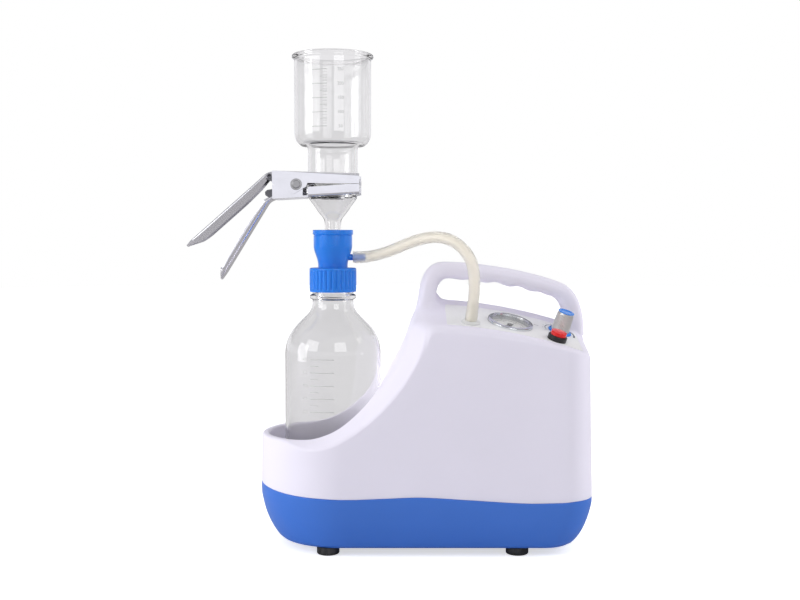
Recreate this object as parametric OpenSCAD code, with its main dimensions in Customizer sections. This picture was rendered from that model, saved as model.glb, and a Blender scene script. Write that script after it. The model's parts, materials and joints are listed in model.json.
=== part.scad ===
// Vacuum filtration unit: a small oil-free pump in a moulded body with a carry handle,
// a one litre bottle standing in a well at its left, and a glass filter holder on top of
// the bottle. Millimetres, +Z up, feet on Z = 0.
// Every piece is drawn about the bottle's own upright axis, and placed() then moves the
// whole to the middle of its footprint.

/* [Body] */
// Distance from the bottle's axis to the body's right end
body_reach = 264; // [250:1:285]
// Half of the body's depth, front to back
body_half = 78; // [72:1:86]
// Height of the seam between the upper housing and the lower base
seam_z = 60; // [54:1:68]
// Height of the roof where it is highest
roof_peak_z = 256; // [240:1:275]
// Radius of the roof's curve, seen from the front
roof_r = 526; // [420:2:700]
// Forward slope of the roof, in height lost per millimetre of depth
roof_slope = 0.265; // [0.15:0.005:0.32]
// Wall of the moulded shells
shell_wall = 3; // [2:0.25:4]
// Height of the rim at the low left end
tray_z = 116; // [100:1:130]

/* [Handle] */
// Depth of the carry handle, front to back
handle_d = 30; // [22:1:36]
// Height of the handle's top above the roof's highest point
handle_rise = 39; // [32:1:50]
// Thickness of the grip
grip_t = 17.5; // [14:0.5:22]

/* [Feet] */
// Diameter of a rubber foot
foot_d = 23; // [16:1:28]
// Height of a rubber foot
foot_h = 8; // [6:0.5:14]
// Distance from the bottle's axis to the right pair of feet
foot_reach = 190; // [170:1:205]
// Distance from the middle plane to a foot's centre
foot_y = 52; // [40:1:56]

/* [Bottle] */
// Outside diameter of the bottle
bottle_d = 101; // [86:1:104]
// Height of the bottle
bottle_h = 223.5; // [200:0.5:240]
// Wall of the bottle
bottle_wall = 2.8; // [2:0.1:4]
// Outside diameter of the bottle's neck
neck_d = 43.4; // [42:0.1:46]
// Width of the free space between the bottle and the well
well_gap = 7.5; // [5:0.5:9]

/* [Cap and adapter] */
// Outside diameter of the screw cap over its ribs
cap_d = 49.6; // [48:0.1:56]
// Height of the screw cap
cap_h = 25.3; // [20:0.1:28]
// Number of grip ribs round the cap
cap_ribs = 30; // [18:1:40]
// Outside diameter of the adapter's cup at its rim
cup_d = 42.6; // [40:0.1:50]
// Height of the cup's rim above the cap's top
cup_rise = 40; // [34:0.5:46]

/* [Filter holder] */
// Outside diameter of the support base's stem
stem_d = 17; // [12:0.5:19]
// Outside diameter of the two ground flanges
flange_d = 56; // [52:0.5:60]
// Outside diameter of the funnel's body
funnel_d = 81; // [70:1:90]
// Height from the flange joint to the funnel's rim
funnel_h = 137; // [115:1:150]
// Wall of the funnel and the support base
glass_wall = 3; // [2.2:0.1:4]

/* [Clamp] */
// Thickness of the clamp's sheet
sheet_t = 1.5; // [1:0.1:2]
// Length of the upper lever
lever_len = 116; // [85:1:125]
// Length of the lower lever
lower_lever_len = 99; // [75:1:110]
// Width of both levers
lever_w = 26; // [20:1:34]

/* [Hose and panel fittings] */
// Outside diameter of the suction hose
hose_d = 12; // [10:0.5:13]
// Bore of the suction hose
hose_bore = 7; // [5:0.5:8]
// Diameter of the vacuum gauge over its bezel
gauge_d = 47; // [40:1:50]
// Diameter of the regulator knob
knob_d = 19; // [15:0.5:22]
// Height of the regulator knob above its skirt
knob_h = 21; // [14:0.5:24]
// Diameter of the power button
button_d = 16; // [12:0.5:17]
// Travel of the power button
button_travel = 2.5; // [1.5:0.5:3]

/* [Hidden] */

$fn = 64;
fit = 0.3;        // clearance between pieces that seat in one another
run_fit = 0.05;   // radial clearance of a pin or shaft that turns
eps = 0.01;

// Heights of the stack on the bottle's axis
well_floor_z = seam_z - 1;
bottle_z = well_floor_z;
neck_top_z = bottle_z + bottle_h;
seal_t = 1.5;
insert_flange_t = 2.6;
cap_plate_t = 2;
cap_top_z = neck_top_z + seal_t + insert_flange_t + cap_plate_t;
cup_top_z = cap_top_z + cup_rise;
barb_z = cap_top_z + 11.2;
flange_z = cup_top_z + 47.4;   // ground joint between support base and funnel
flange_t = 9.8;
funnel_top_z = flange_z + funnel_h;

// Clamp, measured from the bottle's axis and the flange joint
pivot_x = -36;
pivot_z = flange_z - 0.5;
pivot_r = 3;
jaw_left_x = -61;
jaw_right_x = 29;
jaw_out = flange_d / 2 + 2;
upper_lever_deg = 41.5;
lower_lever_deg = 58.5;
lever_flange = 9.5;
upper_elbow = [jaw_left_x - 7, flange_z + 13];
lower_elbow = [jaw_left_x - 4, flange_z - 15];
lever_tip_x = upper_elbow[0] - lever_len * cos(upper_lever_deg);

// The body's right end is slightly bowed
end_bow = 3.5;
vessel_x = -(lever_tip_x + body_reach + end_bow) / 2;

// Plan of the body at the seam
left_a = 88;          // half length of the rounded left end
end_corner = 27;
well_r = bottle_d / 2 + well_gap;
well_left_x = -9;
well_right_x = 1;
well_wall = 2.6;
rim_wall = 8.5;       // between the well and the body's left end
left_cx = well_left_x - well_r - rim_wall + left_a;
front_lean = 2;
end_lean = 2.5;

// Roof and rim
ridge_x = 85;
lip_h = 5;
lip_y = 6;
panel_back_y = 3 + lip_y / 2;
panel_front_y = body_half - 11;
rim_y = body_half - 20;
crease_drop = 4.6;
band_depth = 12;      // height lost over the soft band along the low rim

// Panel fittings, from the bottle's axis
label_x0 = 118;
label_x1 = 254;
label_t = 0.4;
skirt_r = 12.5;       // knob's skirt ring
collar_r = 9.5;       // collar of the hose inlet
thread_r = 5;         // threaded stems of the knob's valve and of the inlet
switch_r = 8;         // threaded body of the switch
leg_inner_x = 244;    // inner side of the handle's right leg
nipple_pos = [142.5, -55];
gauge_pos = [184, -38];
knob_pos = [236, -28];
button_pos = [229, -56.5];

// Pump, inside
floor_z = foot_h + shell_wall;
plate_z = floor_z + 9;
plate_t = 2.5;
motor_x = 96;
motor_len = 84;
motor_r = 40;
shaft_z = plate_z + plate_t + motor_r + 6;
shaft_r = 4;
case_x = motor_x + motor_len;
case_len = 44;
crank_x = case_x + case_len / 2;
cylinder_z = shaft_z + 38;
cylinder_h = 26;
cylinder_r = 24;
piston_r = 20;
stroke = 6;
head_h = 14;
head_top_z = cylinder_z + cylinder_h + head_h;

// The hose's route, in the object's own frame
hose_route = [
    [-35.1, 0, 299.8], [-27, 0, 299.8], [-18, -1, 300.6], [-8, -4, 302.8], [3, -9, 306.2],
    [14, -15.5, 310.6], [25.5, -23.5, 315.4], [37.5, -33, 319.2], [50, -42.5, 321],
    [61.5, -51.5, 319.6], [72, -58, 314.4], [80.5, -62.5, 306], [86.4, -65, 295],
    [88.8, -65.6, 282.5], [89, -64.6, 269], [88.2, -61.6, 256], [87.3, -58, 245.4],
    [86.5, -55.8, 237.8]
];

// ---------------------------------------------------------------- shared forms

function mix(a, b, t) = a + (b - a) * t;
function bez(p, t) = pow(1 - t, 3) * p[0] + 3 * t * pow(1 - t, 2) * p[1]
    + 3 * t * t * (1 - t) * p[2] + pow(t, 3) * p[3];
function bez_curve(p, n, from = 0) = [for (i = [from:n]) bez(p, i / n)];
function arc(c, r, a0, a1, n) =
    [for (i = [0:n]) c + r * [cos(mix(a0, a1, i / n)), sin(mix(a0, a1, i / n))]];

// Height of the roof in the middle plane, and how far it drops towards front and back
function ridge_z(x) = roof_peak_z - roof_r + sqrt(roof_r * roof_r - pow(x - ridge_x, 2));
function roof_drop(y) =
    abs(y) <= lip_y / 2 ? 0
    : abs(y) <= panel_back_y ? lip_h * (abs(y) - lip_y / 2) / (panel_back_y - lip_y / 2)
    : lip_h + roof_slope * (min(abs(y), panel_front_y) - panel_back_y)
        + crease_drop * max(0, abs(y) - panel_front_y) / (body_half - panel_front_y);
function roof_z(x, y) = ridge_z(x) - roof_drop(y);
function roof_fall(x) = (x - ridge_x) / sqrt(roof_r * roof_r - pow(x - ridge_x, 2));

// Moves what is drawn about the bottle's axis to its place in the whole
module placed() {
    translate([vessel_x, 0, 0]) children();
}

// Stands its children square to the sloping panel, on its surface at p
module on_panel(p) {
    s = roof_fall(p[0]);
    n = sqrt(1 + s * s + roof_slope * roof_slope);
    translate([p[0], p[1], roof_z(p[0], p[1])])
        rotate([asin(roof_slope / n), atan(s), 0])
            children();
}

// A closed solid through rings that all have the same number of points, each running
// anticlockwise when it is seen from the ring before it
module skin(rings) {
    n = len(rings[0]);
    m = len(rings);
    polyhedron(
        points = [for (r = rings) each r],
        faces = concat(
            [[for (i = [0:n - 1]) i]],
            [for (k = [0:m - 2], i = [0:n - 1])
                each [[k * n + i, (k + 1) * n + i, k * n + (i + 1) % n],
                      [k * n + (i + 1) % n, (k + 1) * n + i, (k + 1) * n + (i + 1) % n]]],
            [[for (i = [n - 1:-1:0]) (m - 1) * n + i]]
        ),
        convexity = 10
    );
}

// Turns an outline of [radius, height] points about the bottle's axis
module turned(points) {
    rotate_extrude($fn = 96) polygon(points);
}

module ring_of(n, r, start = 0) {
    for (i = [0:n - 1]) rotate(start + i * 360 / n) translate([r, 0, 0]) children();
}

// ------------------------------------------------------------ the moulded body

// Plan outline: half an ellipse at the left, rounded corners and a bowed end at the right
function plan(a, half, reach) = concat(
    [for (i = [0:24]) [left_cx + a * cos(90 + i * 7.5), half * sin(90 + i * 7.5)]],
    arc([reach - end_corner, -half + end_corner], end_corner, -90, -12, 7),
    [for (i = [-2:2]) [reach + end_bow * (1 - i * i / 9), i * (half - end_corner) / 3]],
    arc([reach - end_corner, half - end_corner], end_corner, 12, 90, 7)
);

module plan_slab(z, a, half, reach) {
    translate([0, 0, z]) linear_extrude(eps) polygon(plan(a, half, reach));
}

// The body's walls: upright below the rim, then closing in over the low left end
module body_walls(inset, z0) {
    hull() {
        plan_slab(z0, left_a - inset, body_half - inset, body_reach - inset);
        plan_slab(tray_z - band_depth, left_a - inset - 0.5, body_half - inset - 0.6,
            body_reach - inset - 0.8);
        plan_slab(tray_z + 1, left_a - inset - 8, body_half - inset - 0.7, body_reach - inset - 0.9);
        plan_slab(roof_peak_z + 6, 30 - inset, body_half - inset - front_lean,
            body_reach - inset - end_lean);
    }
}

// Side profile of the body at one depth: tray, slope, shoulder, roof and right shoulder
function body_profile(y, k, inset) =
    let (drop = roof_drop(y),
         tray = [-41, tray_z - k * band_depth - inset],
         top = roof_z(95, y) - 9 - inset,
         slope_end = [88.5 - (250 - top) * 0.3 + 19 * k + inset, top],
         roof_start = slope_end[0] + 13,
         roof_end = label_x1,
         end_z = ridge_z(roof_end) - drop - inset)
    concat(
        [[-100, floor_z - 5], [-100, tray[1]]],
        bez_curve([tray, tray + [60, 0], slope_end - [18, 60], slope_end], 14),
        [for (i = [1:4]) let (t = i / 5)
            pow(1 - t, 2) * slope_end
            + 2 * t * (1 - t) * [slope_end[0] + 3, ridge_z(roof_start) - drop - inset]
            + t * t * [roof_start, ridge_z(roof_start) - drop - inset]],
        [for (i = [0:12]) let (x = i == 0 ? roof_start : mix(label_x0, roof_end, (i - 1) / 11))
            [x, ridge_z(x) - drop - inset]],
        [[roof_end + 7, end_z - 4.2], [roof_end + 12, end_z - 12], [roof_end + 16, end_z - 26],
         [roof_end + 30, floor_z - 5]]
    );

// The roof and slope, lofted from front to back through the profiles
module body_loft(inset) {
    skin([for (s = [[-body_half - 1, 1.05], [-panel_front_y, 0.42], [-rim_y, 0],
                    [-panel_back_y, 0], [-lip_y / 2, 0], [lip_y / 2, 0], [panel_back_y, 0],
                    [rim_y, 0], [panel_front_y, 0.42], [body_half + 1, 1.05]])
        [for (p = body_profile(s[0], s[1], inset)) [p[0], s[0], p[1]]]]);
}

module body_form(inset, z0) {
    intersection() {
        body_walls(inset, z0);
        body_loft(inset);
    }
}

// Outer and inner edges of the handle, seen from the front, as points that pair up
handle_top_z = roof_peak_z + handle_rise;
right_leg_x = body_reach + 1;
function handle_outer() = concat(
    bez_curve([[88, 238], [89, 280], [94, handle_top_z], [115, handle_top_z]], 8),
    bez_curve([[115, handle_top_z], [150, handle_top_z], [205, 287], [241, 273]], 22, 1),
    bez_curve([[241, 273], [259, 266], [right_leg_x, 246], [right_leg_x, 222]], 8, 1)
);
function handle_inner() = concat(
    bez_curve([[108, 238], [108, 260], [109, handle_top_z - grip_t], [122, handle_top_z - grip_t]], 8),
    [for (i = [1:22]) let (t = i / 22)
        bez([[122, handle_top_z - grip_t], [160, handle_top_z - grip_t],
             [200, 270], [230, 259]], t) + [0, 1.2 * (cos(4.5 * 360 * t) - 1) * sin(180 * t)]],
    bez_curve([[230, 259], [239, 255], [leg_inner_x, 249], [leg_inner_x, 222]], 8, 1)
);

// The carry handle: rounded sections carried from the outer to the inner edge
module handle_loop() {
    outer = handle_outer();
    inner = handle_inner();
    skin([for (i = [len(outer) - 1:-1:0])
        let (mid = (outer[i] + inner[i]) / 2,
             half = (outer[i] - inner[i]) / 2,
             foot = max(0, 1 - i / 7),
             depth = handle_d / 2 * (1 + 0.5 * foot * foot))
        [for (j = [0:15])
            let (a = 22.5 * j + 11.25,
                 u = sign(cos(a)) * pow(abs(cos(a)), 0.62),
                 v = sign(sin(a)) * pow(abs(sin(a)), 0.62))
            [mid[0] + half[0] * u, depth * v, mid[1] + half[1] * u]]]);
}

// Plan of the bottle's well, grown by a wall
module well_plan(grow) {
    union() {
        translate([well_left_x, 0]) circle(well_r + grow);
        translate([well_left_x, -well_r - grow])
            square([well_right_x - well_left_x, 2 * (well_r + grow)]);
        translate([well_right_x, 0]) circle(well_r + grow);
    }
}

// Screw posts: place, and the height where a base post meets the housing's boss
well_under_z = well_floor_z - well_wall;
post_places = concat(
    [for (y = [-30, 30]) [-28, y, well_under_z - 12]],
    [for (p = [[110, 58], [232, 52]], s = [-1, 1]) [p[0], s * p[1], seam_z + 0.5]]
);
post_r = 6;
screw_r = 2;
post_boss_h = 24;
post_screw_len = 16;
vent_x = [150:9:222];
slot_x = [60:8:172];
slit_w = 3;

module housing_bosses() {
    for (p = post_places)
        if (p[2] < well_under_z) translate(p) cylinder(h = well_under_z - p[2] + 1, r = post_r);
        else {
            translate(p) cylinder(h = post_boss_h, r = post_r);
            translate([p[0] - 1.2, p[1] > 0 ? p[1] : -body_half + 2, p[2]])
                cube([2.4, body_half - 2 - abs(p[1]), post_boss_h]);
        }
}

module upper_housing() {
    color("white") placed() difference() {
        union() {
            body_form(0, seam_z + 0.5);
            handle_loop();
            translate([0, 0, well_under_z]) linear_extrude(seam_z) well_plan(well_wall);
            housing_bosses();
        }
        difference() {
            body_form(shell_wall, seam_z - 20);
            translate([0, 0, well_under_z]) linear_extrude(300) well_plan(well_wall);
            housing_bosses();
            inlet_recess(shell_wall);
        }
        translate([0, 0, well_floor_z]) linear_extrude(300) well_plan(0);
        for (p = post_places) translate(p - [0, 0, 1])
            cylinder(h = post_screw_len - 2, r = screw_r);
        on_panel(gauge_pos) gauge_hole();
        on_panel(knob_pos) cylinder(h = 30, r = thread_r + fit, center = true);
        on_panel(button_pos) cylinder(h = 30, r = switch_r + fit, center = true);
        on_panel(nipple_pos) cylinder(h = 30, r = thread_r + fit, center = true);
        on_panel(knob_pos) cylinder(h = 6, r = skirt_r + fit);
        on_panel(button_pos) cylinder(h = 6, r = bezel_r + fit);
        on_panel(nipple_pos) cylinder(h = 6, r = collar_r + fit);
        inlet_recess(0);
        translate([inlet_at[0], body_half - 2, inlet_at[1]])
            cube([inlet_body[0] + 2 * fit, 20, inlet_body[1] + 2 * fit], center = true);
        for (s = inlet_bolts) translate([inlet_at[0] + s, body_half - 12, inlet_at[1]])
            rotate([-90, 0, 0]) cylinder(h = 20, r = 1.6);
        for (x = vent_x) translate([x, body_half - 12, 150]) cube([slit_w, 20, 32]);
    }
}

// Lower base: a rounded tub with foot seats, screw posts and a tongue inside the seam
base_steps = [[0, 0, 0], [0.27, 1.4, 1.2], [0.56, 6, 4], [0.8, 12, 8], [1, 20, 12]];
module tub(inset, top, bottom) {
    hull() for (s = base_steps)
        plan_slab(mix(top, bottom, s[0]), left_a - s[1] - inset, body_half - s[2] - inset,
            body_reach - s[1] - inset);
}

foot_places = [for (x = [-2, foot_reach], y = [-foot_y, foot_y]) [x, y]];
mount_places = [for (x = [motor_x + 8, case_x + case_len - 8], y = [-38, 38]) [x, y]];

module lower_base() {
    color("cornflowerblue") placed() difference() {
        union() {
            difference() {
                tub(0, seam_z, foot_h);
                tub(shell_wall, seam_z + 1, floor_z);
            }
            difference() {
                translate([0, 0, seam_z - 8]) linear_extrude(11)
                    polygon(plan(left_a - shell_wall - fit, body_half - shell_wall - fit,
                        body_reach - shell_wall - fit));
                translate([0, 0, seam_z - 9]) linear_extrude(13)
                    polygon(plan(left_a - shell_wall - 2.2, body_half - shell_wall - 2.2,
                        body_reach - shell_wall - 2.2));
                for (p = post_places) if (p[2] > seam_z)
                    translate([p[0] - 2, p[1] > 0 ? p[1] : p[1] - 30, seam_z + 0.2]) cube([4, 30, 4]);
            }
            for (p = post_places) translate([p[0], p[1], floor_z - 1])
                cylinder(h = p[2] - floor_z + 1, r = post_r);
            for (p = foot_places) translate([p[0], p[1], floor_z - 1])
                cylinder(h = 9, r = 6);
            for (p = mount_places) translate([p[0], p[1], floor_z - 1])
                cylinder(h = 2, r = 9);
        }
        for (p = post_places) translate([p[0], p[1], 0]) {
            cylinder(h = p[2] - 4, r = 4.4);
            cylinder(h = p[2] + 2, r = screw_r + 0.2);
        }
        for (p = foot_places) translate([p[0], p[1], 0]) cylinder(h = floor_z + 5, r = screw_r);
        for (x = slot_x) translate([x, -18, 0]) cube([slit_w, 36, 20]);
    }
}

module rubber_feet() {
    color("black") placed() for (p = foot_places) translate([p[0], p[1], 0])
        rotate_extrude() difference() {
            union() {
                translate([0, 1.5]) square([foot_d / 2, foot_h - 1.5]);
                square([foot_d / 2 - 1.5, 2]);
                translate([foot_d / 2 - 1.5, 1.5]) circle(1.5);
            }
            square([5, 3.5]);
            square([screw_r + 0.2, foot_h + 1]);
            translate([-50, -10]) square([50, 40]);
        }
}

module pan_screw(head_r, head_h, shank_r, length) {
    difference() {
        union() {
            translate([0, 0, -head_h]) cylinder(h = head_h, r = head_r);
            translate([0, 0, -eps]) cylinder(h = length + eps, r = shank_r);
        }
        for (a = [0, 90]) rotate(a) translate([-head_r * 0.6, -0.6, -head_h - 1])
            cube([head_r * 1.2, 1.2, 1 + head_h * 0.55]);
    }
}

module foot_screws() {
    color("silver") placed() for (p = foot_places) translate([p[0], p[1], 3.5])
        pan_screw(4, 2.4, screw_r - run_fit, foot_h + 4);
}

module housing_screws() {
    color("silver") placed() for (p = post_places) translate(p - [0, 0, 4])
        pan_screw(4, 2.6, screw_r - run_fit, post_screw_len);
}

// ---------------------------------------------------------------- control panel

module control_label() {
    fall = atan(roof_slope);
    under = [for (i = [0:11]) let (x = mix(label_x0, label_x1, i / 11))
        [x, (ridge_z(x) - roof_peak_z) * cos(fall)]];
    color("lightgray") placed() difference() {
        intersection() {
            translate([0, -panel_back_y, roof_peak_z - lip_h]) rotate([90 + fall, 0, 0])
                translate([0, 0, -20]) linear_extrude(110)
                polygon(concat(under, [for (i = [11:-1:0]) under[i] + [0, label_t]]));
            translate([label_x0 - 1, -panel_front_y, 150])
                cube([label_x1 - label_x0 + 2, panel_front_y - panel_back_y, 150]);
        }
        on_panel(gauge_pos) gauge_hole();
        on_panel(knob_pos) cylinder(h = 30, r = skirt_r + fit, center = true);
        on_panel(button_pos) cylinder(h = 30, r = bezel_r + fit, center = true);
        on_panel(nipple_pos) cylinder(h = 30, r = collar_r + fit, center = true);
        translate([leg_inner_x - 1, -handle_d / 2 - 1.5, 150]) cube([40, 60, 200]);
    }
}

gauge_r = gauge_d / 2;
dial_r = gauge_r - 3.5;
module gauge_hole() {
    translate([0, 0, -1]) cylinder(h = 12, r = gauge_r + fit);
    translate([0, 0, -26]) cylinder(h = 30, r = dial_r + 1 + fit);
}

module gauge_case() {
    color("dimgray") placed() on_panel(gauge_pos) difference() {
        union() {
            translate([0, 0, -20]) cylinder(h = 19, r = dial_r + 1);
            translate([0, 0, -1]) cylinder(h = 1, r = gauge_r);
            translate([0, 0, -30]) cylinder(h = 12, r = 4);
        }
        translate([0, 0, -17]) cylinder(h = 30, r = dial_r);
        translate([0, 0, -31]) cylinder(h = 8, r = 2);
    }
}

module gauge_bezel() {
    color("silver") placed() on_panel(gauge_pos) rotate_extrude() difference() {
        union() {
            translate([dial_r, 0]) square([gauge_r - dial_r - 1.2, 2.6]);
            square([gauge_r, 1.4]);
            translate([gauge_r - 1.2, 1.4]) circle(1.2);
        }
        translate([-1, -1]) square([dial_r + 1 - 0.6, 6]);
        translate([-1, -1]) square([dial_r + 1, 2.2]);
    }
}

module gauge_dial() {
    color("whitesmoke") placed() on_panel(gauge_pos) translate([0, 0, -5]) difference() {
        cylinder(h = 0.8, r = dial_r - 0.1);
        translate([0, 0, -1]) cylinder(h = 4, r = 1.5 + run_fit);
    }
}

module gauge_needle() {
    color("black") placed() on_panel(gauge_pos) {
        translate([0, 0, -14]) cylinder(h = 11.6, r = 1.5);
        translate([0, 0, -3.6]) cylinder(h = 1.6, r = 2.6);
        rotate(-135) translate([0, 0, -3.4]) linear_extrude(0.6)
            polygon([[-5, 1.1], [-5, -1.1], [dial_r - 3, -0.25], [dial_r - 3, 0.25]]);
    }
}

module gauge_lens() {
    color([0.8, 0.9, 0.95, 0.4]) placed() on_panel(gauge_pos)
        cylinder(h = 1.2, r = dial_r - 0.1);
}

// Bleed valve: its stem is turned by the knob, and its pipe leads to the manifold
module regulator_valve() {
    color("goldenrod") placed() on_panel(knob_pos) difference() {
        union() {
            translate([0, 0, -34]) cylinder(h = 26, r = 8);
            translate([0, 0, -8.5]) cylinder(h = 8.5, r = thread_r);
            translate([0, 0, -28]) rotate([0, -90, 0]) cylinder(h = 17, r = 3.4);
        }
        translate([0, 0, -26]) cylinder(h = 40, r = knob_stem_r + run_fit);
    }
}

module regulator_nut() {
    color("silver") placed() on_panel(knob_pos) translate([0, 0, -shell_wall - 3.3]) difference() {
        cylinder(h = 3.2, r = 9, $fn = 6);
        translate([0, 0, -1]) cylinder(h = 6, r = thread_r + run_fit);
    }
}

knob_stem_r = 3;
// The grip narrows from its foot to its rim
knob_top_r = knob_d / 2 - 1.5;
knob_lean = atan((knob_d / 2 - 0.5 - knob_top_r) / (knob_h - 1.2));
module regulator_knob() {
    color("silver") placed() on_panel(knob_pos) difference() {
        union() {
            translate([0, 0, 2.2]) cylinder(h = knob_h - 1.2, r1 = knob_d / 2 - 0.5, r2 = knob_top_r);
            ring_of(36, knob_d / 2 - 0.5) translate([0, 0, 2.2]) rotate([0, -knob_lean, 0])
                cylinder(h = knob_h - 3, r = 0.5, $fn = 16);
            translate([0, 0, -24]) cylinder(h = 27, r = knob_stem_r);
        }
        translate([0, 0, knob_h - 0.2]) cylinder(h = 6, r = knob_top_r - 1.2);
    }
}

module knob_skirt() {
    color("dodgerblue") placed() on_panel(knob_pos) difference() {
        union() {
            translate([0, 0, fit]) cylinder(h = 1.0, r = skirt_r - 0.2);
            translate([0, 0, 1.3]) cylinder(h = 0.9, r1 = skirt_r - 0.2, r2 = skirt_r - 1.3);
        }
        translate([0, 0, -1]) cylinder(h = 6, r = knob_stem_r + run_fit);
    }
}

module knob_cap() {
    color("dodgerblue") placed() on_panel(knob_pos) translate([0, 0, knob_h - 0.2]) difference() {
        union() {
            cylinder(h = 1.4, r = knob_top_r - 1.25);
            translate([0, 0, 1.2]) cylinder(h = 0.9, r = knob_top_r + 0.4);
        }
        translate([0, 0, 1.6]) cylinder(h = 2, r = knob_top_r - 1.6);
    }
}

bezel_r = 9.7;
bezel_h = 5.6;
module switch_body() {
    color([0.1, 0.1, 0.1]) placed() on_panel(button_pos) difference() {
        union() {
            cylinder(h = bezel_h - 1, r = bezel_r);
            translate([0, 0, bezel_h - 1]) cylinder(h = 1, r1 = bezel_r, r2 = bezel_r - 1);
            translate([0, 0, -22]) cylinder(h = 22.5, r = switch_r);
            for (x = [-3.5, 3.5]) translate([x - 0.4, -2, -30]) cube([0.8, 4, 9]);
        }
        translate([0, 0, -8]) cylinder(h = 20, r = button_d / 2 - 0.8 + 0.3);
        translate([0, 0, bezel_h - button_travel - 0.8]) cylinder(h = 9, r = button_d / 2 + 0.3);
    }
}

module switch_nut() {
    color("dimgray") placed() on_panel(button_pos) translate([0, 0, -shell_wall - 3.1]) difference() {
        cylinder(h = 3, r = 11, $fn = 6);
        translate([0, 0, -1]) cylinder(h = 6, r = switch_r + run_fit);
    }
}

module power_button() {
    color("red") placed() on_panel(button_pos) {
        translate([0, 0, -4]) cylinder(h = bezel_h + 4, r = button_d / 2 - 0.8);
        rotate_extrude() intersection() {
            translate([0, bezel_h - 0.5]) square([button_d / 2, 5.3]);
            translate([0, bezel_h - 27.2]) circle(32, $fn = 180);
        }
    }
}

// A barbed spigot along +Z: a plain neck, then three sharp rings that grip a hose
module barbs(core_r, top_r, length) {
    pitch = length / 3;
    cylinder(h = length, r = core_r);
    for (i = [0:2]) translate([0, 0, i * pitch + pitch * 0.2])
        cylinder(h = pitch * 0.8, r1 = top_r, r2 = core_r + 0.1);
}

module inlet_nipple() {
    color("white") placed() on_panel(nipple_pos) difference() {
        union() {
            cylinder(h = 1.2, r = collar_r);
            translate([0, 0, 1.2]) cylinder(h = 1.6, r1 = 9.2, r2 = 7.2);
            translate([0, 0, 2.8]) barbs(hose_bore / 2 - 0.1, hose_bore / 2 + 0.6, 15);
            translate([0, 0, -12]) cylinder(h = 12.5, r = thread_r);
        }
        translate([0, 0, -13]) cylinder(h = 40, r = 1.9);
    }
}

manifold_h = 16;
module vacuum_manifold() {
    color("goldenrod") placed() on_panel(nipple_pos) difference() {
        union() {
            translate([-8, -8, -6 - manifold_h]) cube([16, 16, manifold_h]);
            translate([8 - eps, 0, -14]) rotate([0, 90, 0]) cylinder(h = 9, r = 2.5);
            translate([0, 8 - eps, -14]) rotate([-90, 0, 0]) cylinder(h = 9, r = 2.5);
            translate([0, 0, -6 - manifold_h - 9]) cylinder(h = 9 + eps, r = 2.5);
        }
        translate([0, 0, -13]) cylinder(h = 30, r = thread_r);
        translate([0, 0, -40]) cylinder(h = 30, r = 1.4);
        translate([0, 0, -14]) rotate([0, 90, 0]) cylinder(h = 30, r = 1.4);
        translate([0, 0, -14]) rotate([-90, 0, 0]) cylinder(h = 30, r = 1.4);
    }
}

// ---------------------------------------------------------------- hose and tubes

function unit(v) = v / norm(v);
// Rings that keep one frame along the route, so that the tube doesn't twist
function carried(side, d) = unit(side - d * (side * d));
function tube_sides(dirs, i = 0, side = [0, 1, 0], done = []) =
    i == len(dirs) ? done
    : let (s = carried(side, dirs[i])) tube_sides(dirs, i + 1, s, concat(done, [s]));
// A point on the smooth curve through four neighbouring route points
function catmull(a, b, c, d, t) =
    0.5 * (2 * b + (c - a) * t + (2 * a - 5 * b + 4 * c - d) * t * t
    + (3 * b - a - 3 * c + d) * t * t * t);
function smooth_route(p, steps) = concat(
    [for (i = [0:len(p) - 2], k = [0:steps - 1])
        catmull(p[max(i - 1, 0)], p[i], p[i + 1], p[min(i + 2, len(p) - 1)], k / steps)],
    [p[len(p) - 1]]
);

module tube(route, r, sides) {
    last = len(route) - 1;
    dirs = [for (i = [0:last]) unit(route[min(i + 1, last)] - route[max(i - 1, 0)])];
    side = tube_sides(dirs);
    skin([for (i = [0:last]) let (up = cross(dirs[i], side[i]))
        [for (j = [0:sides - 1]) let (a = (j + 0.5) * 360 / sides)
            route[i] + r * (side[i] * cos(a) + up * sin(a))]]);
}

module suction_hose() {
    color("wheat") tube(smooth_route(hose_route, 2), hose_d / 2, 12);
}

// Where a point of the panel's own frame lies in the whole
function on_panel_point(p, q) =
    let (s = roof_fall(p[0]),
         n = sqrt(1 + s * s + roof_slope * roof_slope),
         ax = asin(roof_slope / n),
         ay = atan(s),
         y1 = q[1] * cos(ax) - q[2] * sin(ax),
         z1 = q[1] * sin(ax) + q[2] * cos(ax))
    [p[0] + q[0] * cos(ay) + z1 * sin(ay), p[1] + y1, roof_z(p[0], p[1]) - q[0] * sin(ay) + z1 * cos(ay)];

module gauge_tube() {
    a = on_panel_point(nipple_pos, [17, 0, -14]);
    a2 = on_panel_point(nipple_pos, [24, 0, -15]);
    b = on_panel_point(gauge_pos, [0, 0, -30]);
    b2 = on_panel_point(gauge_pos, [0, 0, -38]);
    color("gainsboro") placed()
        tube(smooth_route([a, a2, (a2 + b2) / 2 + [0, 0, -4], b2, b], 4), 3.5, 8);
}

module regulator_tube() {
    a = on_panel_point(nipple_pos, [0, 17, -14]);
    a2 = on_panel_point(nipple_pos, [0, 26, -15]);
    b = on_panel_point(knob_pos, [-17, 0, -28]);
    b2 = on_panel_point(knob_pos, [-26, 4, -29]);
    color("gainsboro") placed()
        tube(smooth_route([a, a2, [gauge_pos[0], -4, 207], b2, b], 4), 3.5, 8);
}

head_port = [crank_x - 12, -10];
module suction_tube() {
    a = on_panel_point(nipple_pos, [0, 0, -31]);
    a2 = on_panel_point(nipple_pos, [0, 0, -39]);
    b = [head_port[0], head_port[1], head_top_z + 9];
    b2 = b + [0, 0, 10];
    color("gainsboro") placed()
        tube(smooth_route([a, a2, (a2 + b2) / 2, b2, b], 4), 3.5, 8);
}

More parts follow.
